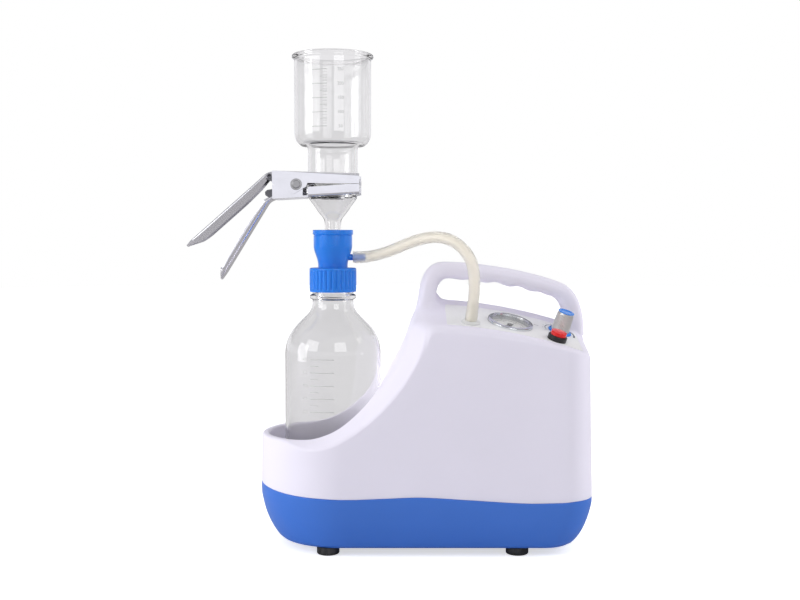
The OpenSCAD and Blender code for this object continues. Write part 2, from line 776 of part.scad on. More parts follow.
// ---------------------------------------------------------------- pump

module pump_bracket() {
    color("silver") placed() difference() {
        union() {
            translate([motor_x - 2, -44, plate_z]) cube([motor_len + case_len + 4, 88, plate_t]);
            for (x = [motor_x + 12, motor_x + motor_len - 20]) translate([x, -24, plate_z + plate_t])
                cube([8, 48, 16]);
        }
        translate([0, 0, shaft_z]) rotate([0, 90, 0]) cylinder(h = 400, r = motor_r + 1.1);
        for (p = mount_places) translate([p[0], p[1], 0]) cylinder(h = 80, r = mount_neck_r);
    }
}

mount_neck_r = 2.2;

module pump_mounts() {
    color("black") placed() for (p = mount_places) translate([p[0], p[1], 0]) difference() {
        union() {
            translate([0, 0, floor_z + 1]) cylinder(h = plate_z - floor_z - 1, r = 8);
            translate([0, 0, plate_z - eps]) cylinder(h = plate_t + 2 * eps, r = mount_neck_r);
            translate([0, 0, plate_z + plate_t]) cylinder(h = 3, r = 5);
        }
        translate([0, 0, floor_z + 4.5]) rotate_extrude() translate([9.5, 0]) circle(2.5);
    }
}

module pump_motor() {
    color("dimgray") placed() translate([motor_x, 0, shaft_z]) rotate([0, 90, 0]) difference() {
        union() {
            cylinder(h = motor_len - 2, r = motor_r);
            translate([0, 0, motor_len - 4]) cylinder(h = 4, r = 30);
            ring_of(24, motor_r - 1) translate([-1, -1, 8]) cube([3, 2, motor_len - 20]);
        }
        translate([0, 0, 4]) cylinder(h = motor_len - 10, r = motor_r - 6);
        translate([0, 0, -1]) cylinder(h = motor_len + 2, r = shaft_r + run_fit);
        ring_of(8, 22) translate([0, 0, -1]) cylinder(h = 6, r = 4);
    }
}

module motor_rotor() {
    color("gray") placed() translate([0, 0, shaft_z]) rotate([0, 90, 0]) {
        translate([0, 0, motor_x - 16]) cylinder(h = crank_x - motor_x + 16 + 8, r = shaft_r);
        translate([0, 0, motor_x + 14]) cylinder(h = motor_len - 30, r = motor_r - 9);
        translate([0, 0, motor_x - 15]) cylinder(h = 11, r = 9);
        translate([0, 0, motor_x - 15]) ring_of(7, 6)
            translate([0, 0, 5.5]) rotate([28, 0, 0]) translate([0, -7, -0.8]) cube([26, 14, 1.6]);
        translate([stroke / 2, 0, crank_x - 5]) cylinder(h = 10, r = 9);
    }
}

case_mouth_r = 16;
module pump_crankcase() {
    color("silver") placed() difference() {
        translate([case_x + fit, -32, plate_z + plate_t])
            cube([case_len, 64, cylinder_z - plate_z - plate_t]);
        translate([case_x + 6, -26, plate_z + plate_t + 6])
            cube([case_len - 10, 52, cylinder_z - plate_z - plate_t - 10]);
        translate([case_x - 1, 0, shaft_z]) rotate([0, 90, 0]) cylinder(h = 12, r = shaft_r + run_fit);
        translate([crank_x, 0, cylinder_z - 10]) cylinder(h = 20, r = case_mouth_r);
    }
}

module pump_cylinder() {
    color("silver") placed() translate([crank_x, 0, cylinder_z]) difference() {
        union() {
            cylinder(h = cylinder_h, r = cylinder_r - 1);
            for (i = [0:3]) translate([0, 0, 4.5 + i * 5.5]) cylinder(h = 2, r = cylinder_r + 3);
        }
        translate([0, 0, -1]) cylinder(h = cylinder_h + 2, r = piston_r + run_fit);
    }
}

// Rocking piston and its rod, with a slotted lower eye that clears the crank
module pump_piston() {
    color("slategray") placed() translate([crank_x, 0, 0]) difference() {
        union() {
            translate([0, 0, cylinder_z + cylinder_h / 2 - 3]) cylinder(h = 6, r = piston_r);
            translate([-4, -6, shaft_z + 14]) cube([8, 12, cylinder_z + cylinder_h / 2 - 2 - shaft_z - 14]);
            translate([-4, 0, shaft_z]) rotate([0, 90, 0]) cylinder(h = 8, r = 19);
        }
        translate([-6, 0, shaft_z]) rotate([0, 90, 0]) cylinder(h = 12, r = 15.5);
    }
}

head_bolts = [-21, 21];
module pump_head() {
    color("silver") placed() translate([crank_x, 0, cylinder_z + cylinder_h]) difference() {
        union() {
            translate([-26, -26, 0]) cube([52, 52, head_h - 2]);
            translate([-18, -18, head_h - 3]) cube([36, 36, 3]);
            translate([-12, -10, head_h - eps]) cylinder(h = 9, r = 2.5);
            translate([12, 10, head_h - eps]) cylinder(h = 7, r = 5);
        }
        translate([0, 0, -1]) cylinder(h = 5, r = 16);
        translate([-12, -10, 0]) cylinder(h = 40, r = 1.4);
        translate([12, 10, 0]) cylinder(h = 40, r = 3);
        for (x = head_bolts, y = head_bolts) translate([x, y, -1]) cylinder(h = 30, r = 2.2);
    }
}

module head_screws() {
    color("gray") placed() for (x = head_bolts, y = head_bolts)
        translate([crank_x + x, y, cylinder_z + cylinder_h + head_h - 2])
            mirror([0, 0, 1]) pan_screw(3.6, 3, 2.15, head_h - 2.4);
}

module exhaust_silencer() {
    color("tan") placed() translate([crank_x + 12, 10, head_top_z + 7]) {
        translate([0, 0, -6]) cylinder(h = 6 + eps, r = 3 - run_fit);
        cylinder(h = 6, r = 7, $fn = 6);
        translate([0, 0, 6 - eps]) cylinder(h = 18, r = 6);
        translate([0, 0, 24 - 2 * eps]) cylinder(h = 2, r1 = 6, r2 = 4);
    }
}

// ---------------------------------------------------------------- mains inlet

inlet_at = [224, 98];      // along the back, and its height
inlet_deep = 6;
inlet_flange_t = 2.5;
inlet_body = [30, 22];      // the part that goes through the wall
inlet_bolts = [-20, 20];
module inlet_recess(grow) {
    translate([inlet_at[0] - 27 - grow, body_half - inlet_deep - grow, inlet_at[1] - 16 - grow])
        cube([54 + 2 * grow, 20, 32 + 2 * grow]);
}

module power_inlet() {
    x = inlet_at[0];
    z = inlet_at[1];
    y = body_half - inlet_deep;
    color([0.12, 0.12, 0.12]) placed() {
        difference() {
            union() {
                translate([x - 25, y, z - 14]) cube([50, inlet_flange_t, 28]);
                translate([x - inlet_body[0] / 2, y - 24, z - inlet_body[1] / 2])
                    cube([inlet_body[0], 24 + eps, inlet_body[1]]);
            }
            translate([x - 12, y - 17, z - 8]) cube([24, 30, 16]);
            for (s = inlet_bolts) translate([x + s, y - 1, z]) rotate([-90, 0, 0])
                cylinder(h = 8, r = 1.7);
        }
        for (p = [[-7, -1], [0, 3], [7, -1]])
            translate([x + p[0] - 1, y - 18, z + p[1] - 2]) cube([2, 15, 4]);
    }
}

module inlet_screws() {
    color("silver") placed() for (s = inlet_bolts)
        translate([inlet_at[0] + s, body_half - inlet_deep + inlet_flange_t, inlet_at[1]])
            rotate([90, 0, 0]) pan_screw(3, 1.8, 1.55, 5);
}

// ---------------------------------------------------------------- bottle and adapter

// Outline of a laboratory bottle's side from the heel to the neck's top, drawn in by w
function bottle_side(w) =
    let (r = bottle_d / 2, neck = neck_d / 2, shoulder_z = bottle_z + bottle_h * 0.625,
         sr = 42, tr = 20, bend = 45,
         edge = [r - sr * (1 - cos(bend)), shoulder_z + sr * sin(bend)],
         run = (edge[0] - neck - tr * (1 - cos(bend))) / sin(bend),
         throat = [edge[0] - run * sin(bend), edge[1] + run * cos(bend)])
    concat(
        arc([r - 9, bottle_z + 9], 9 - w, -90, 0, 6),
        arc([r - sr, shoulder_z], sr - w, 0, bend, 10),
        arc([neck + tr, throat[1] + tr * sin(bend)], tr + w, 180 + bend, 180, 6)
    );

// Pouring ring below the cap
bead_out = 2.9;
module bottle() {
    outer = bottle_side(0);
    inner = bottle_side(bottle_wall);
    n = len(inner) - 1;
    color([0.85, 0.92, 0.95, 0.35]) placed() turned(concat(
        [[0, bottle_z + 1.2], [bottle_d / 2 - 16, bottle_z + 0.6], [bottle_d / 2 - 12, bottle_z]],
        outer,
        [[neck_d / 2, cap_top_z - cap_h - 8.5], [neck_d / 2 + bead_out, cap_top_z - cap_h - 7.4],
         [neck_d / 2 + bead_out, cap_top_z - cap_h - 3.2], [neck_d / 2, cap_top_z - cap_h - 2],
         [neck_d / 2, neck_top_z - 1], [neck_d / 2 - 1, neck_top_z],
         [neck_d / 2 - bottle_wall, neck_top_z]],
        [for (i = [n:-1:0]) inner[i] + (i < 7 ? [0, 2] : [0, 0])],
        [[0, bottle_z + bottle_wall + 3]]
    ));
}

module adapter_seal() {
    color("ivory") placed() translate([0, 0, neck_top_z]) difference() {
        cylinder(h = seal_t, r = neck_d / 2 - 0.2);
        translate([0, 0, -1]) cylinder(h = 4, r = 16);
    }
}

insert_r = neck_d / 2 - bottle_wall - 3.4;
cup_neck_r = 15.6;
module screw_cap() {
    z0 = cap_top_z - cap_h;
    color("royalblue") placed() difference() {
        union() {
            rotate_extrude() {
                translate([0, z0]) square([cap_d / 2 - 1.2, cap_h - 1.5]);
                translate([0, z0 + cap_h - 2]) square([cap_d / 2 - 2.7, 2]);
                intersection() {
                    translate([cap_d / 2 - 2.7, z0 + cap_h - 1.5]) circle(1.5);
                    translate([0, z0]) square([cap_d, cap_h]);
                }
                translate([0, z0]) square([cap_d / 2 - 0.3, 1.6]);
            }
            ring_of(cap_ribs, cap_d / 2 - 1.2) translate([0, 0, z0 + 1])
                cylinder(h = cap_h - 3.4, r = 1.2, $fn = 16);
        }
        translate([0, 0, z0 - 1]) cylinder(h = cap_h - cap_plate_t + 1, r = neck_d / 2 + 0.5);
        translate([0, 0, z0]) cylinder(h = cap_h + 2, r = cup_neck_r + 0.6);
    }
}

// Adapter: an insert that seals on the bottle's mouth, a cup for the stopper, a side spigot
cup_r = cup_d / 2;
cup_seat_z = cap_top_z + 17.5;
chamber_r = 12.6;
barb_x0 = 15;
barb_x1 = 34.4;
module bottle_adapter() {
    z0 = neck_top_z + seal_t;
    color("dodgerblue") placed() difference() {
        union() {
            turned(concat(
                [[0, neck_top_z - 7], [insert_r, neck_top_z - 7], [insert_r, z0],
                 [neck_d / 2 - 0.4, z0], [neck_d / 2 - 0.4, z0 + insert_flange_t],
                 [cup_neck_r, z0 + insert_flange_t], [cup_neck_r, cap_top_z + 3]],
                [for (i = [0:8]) let (t = i / 8)
                    [mix(cup_neck_r, cup_r - 0.9, (1 - cos(180 * t)) / 2), cap_top_z + 3 + 21 * t]],
                [[cup_r - 0.9, cup_top_z - 4.4], [cup_r - 0.1, cup_top_z - 3.8],
                 [cup_r, cup_top_z - 0.8], [cup_r - 0.8, cup_top_z], [0, cup_top_z]]
            ));
            translate([barb_x0 - 2, 0, barb_z]) rotate([0, 90, 0]) cylinder(h = 8.2, r = 3.3);
            translate([barb_x0 + 6, 0, barb_z]) rotate([0, 90, 0])
                barbs(hose_bore / 2 - 0.5, hose_bore / 2 + 0.5, barb_x1 - barb_x0 - 6);
        }
        translate([0, 0, cup_seat_z])
            cylinder(h = cup_top_z - cup_seat_z + 0.2, r1 = cup_r - 4.6, r2 = cup_r - 2.6);
        translate([0, 0, neck_top_z - 8]) cylinder(h = cup_seat_z - neck_top_z + 9, r = chamber_r);
        translate([0, 0, barb_z]) rotate([0, 90, 0]) cylinder(h = 60, r = 1.8);
    }
}

module silicone_stopper() {
    color("gainsboro") placed() difference() {
        translate([0, 0, cup_seat_z])
            cylinder(h = cup_top_z - cup_seat_z, r1 = cup_r - 4.6, r2 = cup_r - 2.62);
        translate([0, 0, cup_seat_z - 1]) cylinder(h = 60, r = stem_d / 2);
    }
}

// ---------------------------------------------------------------- filter holder

neck_in_flange = 26.2;
module support_base() {
    z = flange_z;
    stem = stem_d / 2;
    bell = [[stem, z - 40.4], [stem + 0.7, z - 37.2], [stem + 2.4, z - 34], [stem + 4.8, z - 31],
        [stem + 8, z - 26.8], [stem + 11, z - 22.4], [stem + 15, z - 16.6],
        [neck_in_flange, z - 12.2], [neck_in_flange, z - flange_t]];
    color([0.85, 0.92, 0.95, 0.35]) placed() turned(concat(
        [[stem - glass_wall, barb_z - 8], [stem, barb_z - 4]],
        bell,
        [[flange_d / 2, z - flange_t], [flange_d / 2, z - 0.6], [flange_d / 2 - 0.6, z],
         [frit_r + fit, z], [frit_r + fit, z - frit_t], [frit_r - 2, z - frit_t],
         [frit_r - 2, z - 15]],
        [for (i = [6:-1:0]) bell[i] + [-glass_wall, i > 3 ? 1.6 : 0.6]]
    ));
}

frit_r = 20;
frit_t = 3.4;
module frit_disc() {
    color("white") placed() translate([0, 0, flange_z - frit_t]) cylinder(h = frit_t, r = frit_r);
}

module funnel() {
    z = flange_z;
    top = funnel_top_z;
    r = funnel_d / 2;
    body_z = top - 83;
    shoulder = concat(
        arc([neck_in_flange + 7, body_z - 17.6], 7, 180, 122, 4),
        arc([r - 15, body_z], 15, -58, 0, 6));
    inner = concat(
        arc([neck_in_flange + 7, body_z - 17.6], 7 + glass_wall, 180, 122, 4),
        arc([r - 15, body_z], 15 - glass_wall, -58, 0, 6));
    color([0.85, 0.92, 0.95, 0.35]) placed() turned(concat(
        [[neck_in_flange - glass_wall - 3, z], [flange_d / 2 - 0.6, z], [flange_d / 2, z + 0.6],
         [flange_d / 2, z + flange_t], [neck_in_flange, z + flange_t]],
        shoulder,
        [[r, top - 6]],
        arc([r + 0.1, top - 2.4], 2.4, -60, 90, 6),
        arc([r - glass_wall + 1.4, top - 1.4], 1.4, 90, 180, 3),
        [for (i = [len(inner) - 1:-1:0]) inner[i]],
        [[neck_in_flange - glass_wall, z + 8]]
    ));
}

// ---------------------------------------------------------------- clamp

fork_r = neck_in_flange + 0.6;
// Height of a web above or below the joint: it leans a little from the right to the left
function web_h(x, lean) = flange_t + 0.1 + (8 - x) * lean;
upper_lean = 0.033;
lower_lean = 0.057;

// Fork plate: solid at the pivot, open round the glass at the right
module fork_plan() {
    difference() {
        translate([jaw_left_x, -jaw_out]) square([jaw_right_x - jaw_left_x, 2 * jaw_out]);
        circle(fork_r);
        translate([0, -fork_r]) square([80, 2 * fork_r]);
    }
}

module web(side, lean, half) {
    intersection() {
        translate([0, 0, flange_z - 40]) linear_extrude(80) intersection() {
            fork_plan();
            translate([-100, -half]) square([200, 2 * half]);
        }
        translate([0, 0, flange_z]) rotate([90, 0, 0]) linear_extrude(4 * jaw_out, center = true)
            polygon([for (p = [[-100, 0], [60, 0], [60, sheet_t], [-100, sheet_t]])
                [p[0], side * (web_h(p[0], lean) + p[1])]]);
    }
}

module side_pair(y_in, y_out) {
    for (s = [0, 1]) mirror([0, s, 0]) translate([0, -y_in, flange_z]) rotate([90, 0, 0])
        linear_extrude(y_out - y_in) children();
}

// A channel lever from its elbow: a flat web with two side flanges, narrowed to its tip
module lever(length, side) {
    lead = side > 0 ? 0.5 : 2;
    translate([0, -lever_w / 2, side > 0 ? -sheet_t : 0]) {
        translate([-lead, 0, 0]) cube([length - 13 + lead, lever_w, sheet_t]);
        translate([length - 13, lever_w / 2, 0]) intersection() {
            cylinder(h = sheet_t, r = 13);
            translate([0, -lever_w / 2, 0]) cube([13, lever_w, sheet_t]);
        }
    }
    for (s = [0, 1]) mirror([0, s, 0]) translate([0, lever_w / 2, 0]) rotate([90, 0, 0])
        linear_extrude(sheet_t) polygon([for (p = [[0, 0], [length - 9, 0], [length - 9, 2.5],
            [length - 17, lever_flange], [14, lever_flange], [0, 3]]) [p[0], -side * p[1]]]);
}

// The bend from a jaw's web into its lever
module elbow(at, side, lean) {
    top = side * (web_h(jaw_left_x, lean) + sheet_t);
    rotate([90, 0, 0]) linear_extrude(lever_w, center = true) polygon([
        [jaw_left_x + 1, flange_z + top], [jaw_left_x - 3, flange_z + top], at,
        at - [0, side * sheet_t], [jaw_left_x - 3, flange_z + top - side * sheet_t],
        [jaw_left_x + 1, flange_z + top - side * sheet_t]]);
}

module clamp_upper_jaw() {
    color("silver") placed() difference() {
        union() {
            web(1, upper_lean, jaw_out);
            side_pair(jaw_out - sheet_t, jaw_out) union() {
                polygon([[jaw_left_x, 0.5], [pivot_x - 2.5, -10.4], [-26, -3], [-24.3, 0.9],
                    [jaw_right_x, 0.4], [jaw_right_x, web_h(jaw_right_x, upper_lean) + sheet_t],
                    [jaw_left_x, web_h(jaw_left_x, upper_lean) + sheet_t]]);
            }
            elbow(upper_elbow, 1, upper_lean);
            translate([upper_elbow[0], 0, upper_elbow[1]]) rotate([0, 180 - upper_lever_deg, 0])
                mirror([0, 0, 1]) lever(lever_len, 1);
        }
        translate([pivot_x, 0, pivot_z]) rotate([90, 0, 0])
            cylinder(h = 100, r = pivot_r + run_fit, center = true);
    }
}

module clamp_lower_jaw() {
    in_y = jaw_out - sheet_t - fit;
    left_h = web_h(jaw_left_x, lower_lean) + sheet_t;
    color("silver") placed() difference() {
        union() {
            difference() {
                web(-1, lower_lean, jaw_out);
                for (s = [0, 1]) mirror([0, s, 0]) translate([jaw_left_x - 1, in_y, flange_z - 40])
                    cube([-24 - jaw_left_x + 1, 20, 60]);
            }
            side_pair(jaw_out - sheet_t, jaw_out) polygon([[-24, -3.3], [20, -0.1],
                [jaw_right_x, -0.1], [jaw_right_x, -web_h(jaw_right_x, lower_lean) - sheet_t],
                [-24, -web_h(-24, lower_lean) - sheet_t]]);
            side_pair(in_y - sheet_t, in_y) union() {
                polygon([[jaw_left_x, -left_h], [jaw_left_x, -0.5], [pivot_x - 8, -3], [pivot_x, 7],
                    [pivot_x + 6, 4], [-29.5, -1], [-29.5, -web_h(-29.5, lower_lean) - sheet_t]]);
                translate([pivot_x, pivot_z - flange_z]) circle(6.5);
            }
            elbow(lower_elbow, -1, lower_lean);
            translate([lower_elbow[0], 0, lower_elbow[1]]) rotate([0, 180 - lower_lever_deg, 0])
                mirror([0, 0, 1]) lever(lower_lever_len, -1);
        }
        translate([pivot_x, 0, pivot_z]) rotate([90, 0, 0])
            cylinder(h = 100, r = pivot_r + run_fit, center = true);
    }
}

module clamp_pin() {
    color("gainsboro") placed() translate([pivot_x, 0, pivot_z]) rotate([90, 0, 0]) {
        cylinder(h = 2 * jaw_out + 1, r = pivot_r, center = true);
        for (s = [0, 1]) mirror([0, 0, s]) translate([0, 0, jaw_out + 0.2]) {
            cylinder(h = 0.4, r = 6);
            cylinder(h = 1.5, r1 = 4.4, r2 = 3.6);
        }
    }
}

// Torsion spring: a close coil round the pin, with a leg along each lever
module clamp_spring() {
    wire = 0.8;
    coil_r = pivot_r + wire + 0.5;
    turns = 6;
    coil = [for (i = [0:turns * 12]) let (a = 180 + i * 30)
        [coil_r * cos(a), (i / (turns * 12) - 0.5) * turns * 2.1, coil_r * sin(a)]];
    color("dimgray") placed() translate([pivot_x, 0, pivot_z])
        tube(concat([coil[0] + [-17, 0, -6]], coil, [coil[len(coil) - 1] + [-17, 0, 5]]), wire, 6);
}

upper_housing();
lower_base();
rubber_feet();
foot_screws();
housing_screws();
control_label();
gauge_case();
gauge_bezel();
gauge_dial();
gauge_needle();
gauge_lens();
regulator_valve();
regulator_nut();
regulator_knob();
knob_skirt();
knob_cap();
switch_body();
switch_nut();
power_button();
inlet_nipple();
vacuum_manifold();
gauge_tube();
regulator_tube();
suction_tube();
suction_hose();
pump_bracket();
pump_mounts();
pump_motor();
motor_rotor();
pump_crankcase();
pump_cylinder();
pump_piston();
pump_head();
head_screws();
exhaust_silencer();
power_inlet();
inlet_screws();
bottle();
adapter_seal();
screw_cap();
bottle_adapter();
silicone_stopper();
support_base();
frit_disc();
funnel();
clamp_lower_jaw();
clamp_upper_jaw();
clamp_pin();
clamp_spring();
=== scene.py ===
# %% [markdown]
# # Vacuum filtration unit
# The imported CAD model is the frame: every piece sits on it, in metres, with the feet on
# Z = 0. CAD nodes whose shape is right keep their mesh and get a finish. Glass, moulded
# shells, hose, cap and clamp are made again as smooth surfaces.

# %% Load the frame
import json
import math
import bpy
import bmesh
import numpy as np
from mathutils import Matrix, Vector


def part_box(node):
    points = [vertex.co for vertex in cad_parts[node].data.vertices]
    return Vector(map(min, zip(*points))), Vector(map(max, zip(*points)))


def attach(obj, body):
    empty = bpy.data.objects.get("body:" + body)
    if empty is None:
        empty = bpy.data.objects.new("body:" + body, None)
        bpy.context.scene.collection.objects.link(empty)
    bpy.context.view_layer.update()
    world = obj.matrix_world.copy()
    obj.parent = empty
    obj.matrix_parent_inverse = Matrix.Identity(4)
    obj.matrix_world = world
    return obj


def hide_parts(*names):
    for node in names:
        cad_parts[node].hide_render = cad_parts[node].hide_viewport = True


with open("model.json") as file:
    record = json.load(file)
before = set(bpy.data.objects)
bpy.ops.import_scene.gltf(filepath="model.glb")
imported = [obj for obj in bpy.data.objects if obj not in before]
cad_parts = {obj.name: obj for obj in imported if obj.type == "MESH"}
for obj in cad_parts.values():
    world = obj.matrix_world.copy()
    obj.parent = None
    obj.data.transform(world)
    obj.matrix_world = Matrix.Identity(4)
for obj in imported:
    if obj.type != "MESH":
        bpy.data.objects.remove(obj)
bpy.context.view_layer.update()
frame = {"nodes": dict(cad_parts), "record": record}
nodes, record = frame["nodes"], frame["record"]
body_of = {node: body for body, members in record["behaviour"]["bodies"].items() for node in members}
slots_of = {p["node"]: p["material_slot"] for p in record["subparts"]}

# %% [markdown]
# Shapes are worked out in millimetres about the bottle's upright axis, as in a drawing,
# and put into metres in one place.

# %% Measures taken from the frame
MM = 0.001
low, high = (np.array(c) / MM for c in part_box("bottle"))
AXIS_X, BOTTLE_R = (low[0] + high[0]) / 2, (high[0] - low[0]) / 2
BOTTLE_Z, NECK_TOP_Z = low[2], high[2]
CUP_TOP_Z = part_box("bottle_adapter")[1][2] / MM
FLANGE_Z, FUNNEL_TOP_Z = (corner[2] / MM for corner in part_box("funnel"))
print("bottle axis at x =", round(AXIS_X, 2), "mm; funnel from", FLANGE_Z, "to", FUNNEL_TOP_Z)

# %% [markdown]
# ## Camera, light and background
# A lens of about 50 mm stands a little above the handle and looks slightly down, so the
# funnel is seen from below and the panel from above. The world is white to the camera and
# a softly graded studio to everything that reflects.

# %% Camera
EYE, LOOK_DOWN = (0.0147, -1.1491, 0.3222), 1.267
camera_data = bpy.data.cameras.new("camera")
camera_data.lens, camera_data.sensor_width, camera_data.shift_y = 48.84, 36.0, -0.05
camera_data.clip_start, camera_data.clip_end = 0.05, 20
camera = bpy.data.objects.new("camera", camera_data)
camera.location, camera.rotation_euler = EYE, (math.radians(90 - LOOK_DOWN), 0, 0)
bpy.context.scene.collection.objects.link(camera)
bpy.context.scene.camera = camera
bpy.context.scene.view_settings.view_transform = "Standard"
print("camera at", EYE)


# %% Helpers for node trees
def new_material(name):
    """An empty Principled material, with its nodes and its shader."""
    material = bpy.data.materials.new(name)
    material.use_nodes = True
    tree = material.node_tree
    return material, tree, next(n for n in tree.nodes if n.type == "BSDF_PRINCIPLED")


def surface_of(tree):
    """The Surface socket of a material's output."""
    return next(n for n in tree.nodes if n.type == "OUTPUT_MATERIAL").inputs["Surface"]


def add(tree, kind, **values):
    """A node of this kind. Values name its properties, or its inputs as in_<name>."""
    node = tree.nodes.new("ShaderNode" + kind)
    for key, value in values.items():
        if key.startswith("in_"):
            node.inputs[key[3:].replace("_", " ")].default_value = value
        else:
            setattr(node, key, value)
    return node


def link(tree, source, target):
    """Links a socket, or sets a number or a colour, on the target socket."""
    if isinstance(source, bpy.types.NodeSocket):
        tree.links.new(source, target)
    elif source is not None:
        target.default_value = source


def math_node(tree, operation, *values, clamp=False):
    """One Math node; its values are numbers or sockets."""
    node = add(tree, "Math", operation=operation, use_clamp=clamp)
    for socket, value in zip(node.inputs, values):
        link(tree, value, socket)
    return node.outputs[0]


def ramp_node(tree, factor, stops):
    """A ramp through (place, level, blue) stops: red and green have the level."""
    node = add(tree, "ValToRGB")
    elements = node.color_ramp.elements
    while len(elements) < len(stops):
        elements.new(0.5)
    for element, (place, level, blue) in zip(elements, stops):
        element.position = place
        element.color = (level, level, blue, 1)
    tree.links.new(factor, node.inputs["Fac"])
    return node.outputs["Color"]


def by_ray(tree, out, choices, target):
    """Chooses a shader by the kind of ray: out, unless a later (ray, node) choice fits."""
    path = add(tree, "LightPath")
    for ray, shown in choices:
        mix = add(tree, "MixShader")
        tree.links.new(path.outputs[f"Is {ray} Ray"], mix.inputs["Fac"])
        tree.links.new(out, mix.inputs[1])
        tree.links.new(shown.outputs[0], mix.inputs[2])
        out = mix.outputs[0]
    tree.links.new(out, target)


print("helpers for materials are ready")

# %% World: white to the camera, a graded studio to everything else
BEHIND = {"in_Color": (0.99, 0.98, 1.0, 1), "in_Strength": 0.92}    # seen through the glass
world = bpy.data.worlds.new("studio")
bpy.context.scene.world = world
world.use_nodes = True
wt = world.node_tree
wt.nodes.clear()
parts = add(wt, "SeparateXYZ")
wt.links.new(add(wt, "TexCoord").outputs["Generated"], parts.inputs[0])
height = math_node(wt, "MULTIPLY_ADD", parts.outputs["Z"], 0.5, 0.5)
lighting, mirrored = (add(wt, "Background", in_Strength=strength) for strength in (0.945, 1.0))
for background, stops in (
        (lighting, [(0.0, 0.2, 0.2), (0.45, 0.06, 0.06), (0.60, 0.06, 0.06), (0.72, 1.0, 1.0),
                    (1.0, 1.0, 1.0)]),
        (mirrored, [(0.0, 0.75, 0.77), (0.36, 0.55, 0.58), (0.47, 0.95, 1.0), (0.56, 1.0, 1.05),
                    (0.61, 0.10, 0.11), (0.70, 0.12, 0.13), (0.80, 0.50, 0.52), (1.0, 0.60, 0.62)])):
    wt.links.new(ramp_node(wt, height, stops), background.inputs["Color"])
white = add(wt, "Background", in_Color=(1, 1, 1, 1), in_Strength=1.0)
by_ray(wt, lighting.outputs[0],
       [("Glossy", mirrored), ("Transmission", add(wt, "Background", **BEHIND)), ("Camera", white)],
       add(wt, "OutputWorld").inputs["Surface"])


def soft_light(name, place, aim, size, power, only_shine=False):
    """An area lamp that looks at the point aim. It lights the object but shows in nothing;
    with only_shine it is a card that shows in gloss and glass but casts no light."""
    lamp = bpy.data.lights.new(name, "AREA")
    lamp.shape, lamp.energy = "RECTANGLE", power
    lamp.size, lamp.size_y = size
    obj = bpy.data.objects.new(name, lamp)
    obj.location, obj.visible_camera = place, False
    obj.visible_diffuse, obj.visible_glossy = not only_shine, only_shine
    look = np.array(aim) - np.array(place)
    obj.rotation_euler = (math.atan2(math.hypot(look[0], look[1]), -look[2]), 0,
                          math.atan2(look[1], look[0]) - math.pi / 2)
    bpy.context.scene.collection.objects.link(obj)


soft_light("side_left", (-1.7, -0.35, 0.38), (-0.05, 0, 0.22), (0.9, 1.0), 17.5)
soft_light("side_right", (1.7, -0.05, 0.7), (0.05, 0, 0.25), (0.8, 1.5), 9.5)
FUNNEL_EYE = (-0.056, 0, 0.87)      # the cards look at a point above the funnel
soft_light("card_left", (-1.254, -0.903, 0.87), FUNNEL_EYE, (0.95, 0.85), 6.5, True)
soft_light("card_right", (0.506, -1.39, 0.87), FUNNEL_EYE, (0.80, 0.85), 5.5, True)

# %% [markdown]
# The object stands on an endless white table, as in a catalogue: a plain matt floor that
# light bounces off. The camera sees it partly glowing, so it runs into the white behind
# with no horizon, and only the object's own soft shadow is left.

# %% Floor
bm = bmesh.new()
bmesh.ops.create_circle(bm, cap_ends=True, radius=6, segments=64)
floor_mesh = bpy.data.meshes.new("floor")
bm.to_mesh(floor_mesh)
bm.free()
floor = bpy.data.objects.new("floor", floor_mesh)
floor.location.z = -0.0002
bpy.context.scene.collection.objects.link(floor)
floor_material, ft, fs = new_material("studio_floor")
for label, value in (("Base Color", (0.86, 0.86, 0.87, 1)), ("Roughness", 0.9), ("Specular IOR Level", 0.0)):
    fs.inputs[label].default_value = value
both = add(ft, "AddShader")
ft.links.new(fs.outputs[0], both.inputs[0])
ft.links.new(add(ft, "Emission", in_Color=(1, 1, 1, 1), in_Strength=0.62).outputs[0], both.inputs[1])
by_ray(ft, fs.outputs[0],
       [("Glossy", add(ft, "BsdfDiffuse", in_Color=(0.46, 0.45, 0.46, 1))),
        ("Transmission", add(ft, "Emission", **BEHIND)), ("Camera", both)], surface_of(ft))
floor_mesh.materials.append(floor_material)
print("floor is a disc of", len(floor_mesh.polygons), "face")

# %% [markdown]
# ## Surfaces from numbers
# A moulded or blown shape is a grid of points: one parameter runs round the piece and one
# along its profile. numpy works out all the points at once, and the mesh gets them in one
# call. The next cells have the helpers that every new piece uses.

# %% Helpers for curves and grids
def grid_faces(rows, columns, closed=True):
    """The four-sided faces between the points of a rows by columns grid, as an array.
    With closed, the last column joins the first."""
    index = np.arange(rows * columns).reshape(rows, columns)
    if closed:
        index = np.hstack([index, index[:, :1]])
    return np.stack([index[:-1, :-1], index[:-1, 1:], index[1:, 1:], index[1:, :-1]],
                    axis=-1).reshape(-1, 4)


def circle(count):
    """Points of a unit circle: (cosine, sine) of even angles."""
    angle = np.arange(count) * 2 * np.pi / count
    return np.stack([np.cos(angle), np.sin(angle)], axis=-1)


def arc(centre, radius, start, end, steps):
    """Points of a circle's arc in (radius, height) space, angles in degrees."""
    a = np.radians(np.linspace(start, end, steps))
    return np.stack([centre[0] + radius * np.cos(a), centre[1] + radius * np.sin(a)], axis=-1)


def column(x, low, high, steps):
    """Even points of an upright line."""
    return np.stack([np.full(steps, x), np.linspace(low, high, steps)], axis=-1)


def bezier(points, steps):
    """A Bezier curve of any degree at even steps from 0 to 1: each point counts by its
    binomial share of the parameter."""
    points = np.asarray(points, float)
    n = len(points) - 1
    t = np.linspace(0, 1, steps)[:, None]
    return sum(math.comb(n, k) * (1 - t) ** (n - k) * t ** k * p for k, p in enumerate(points))


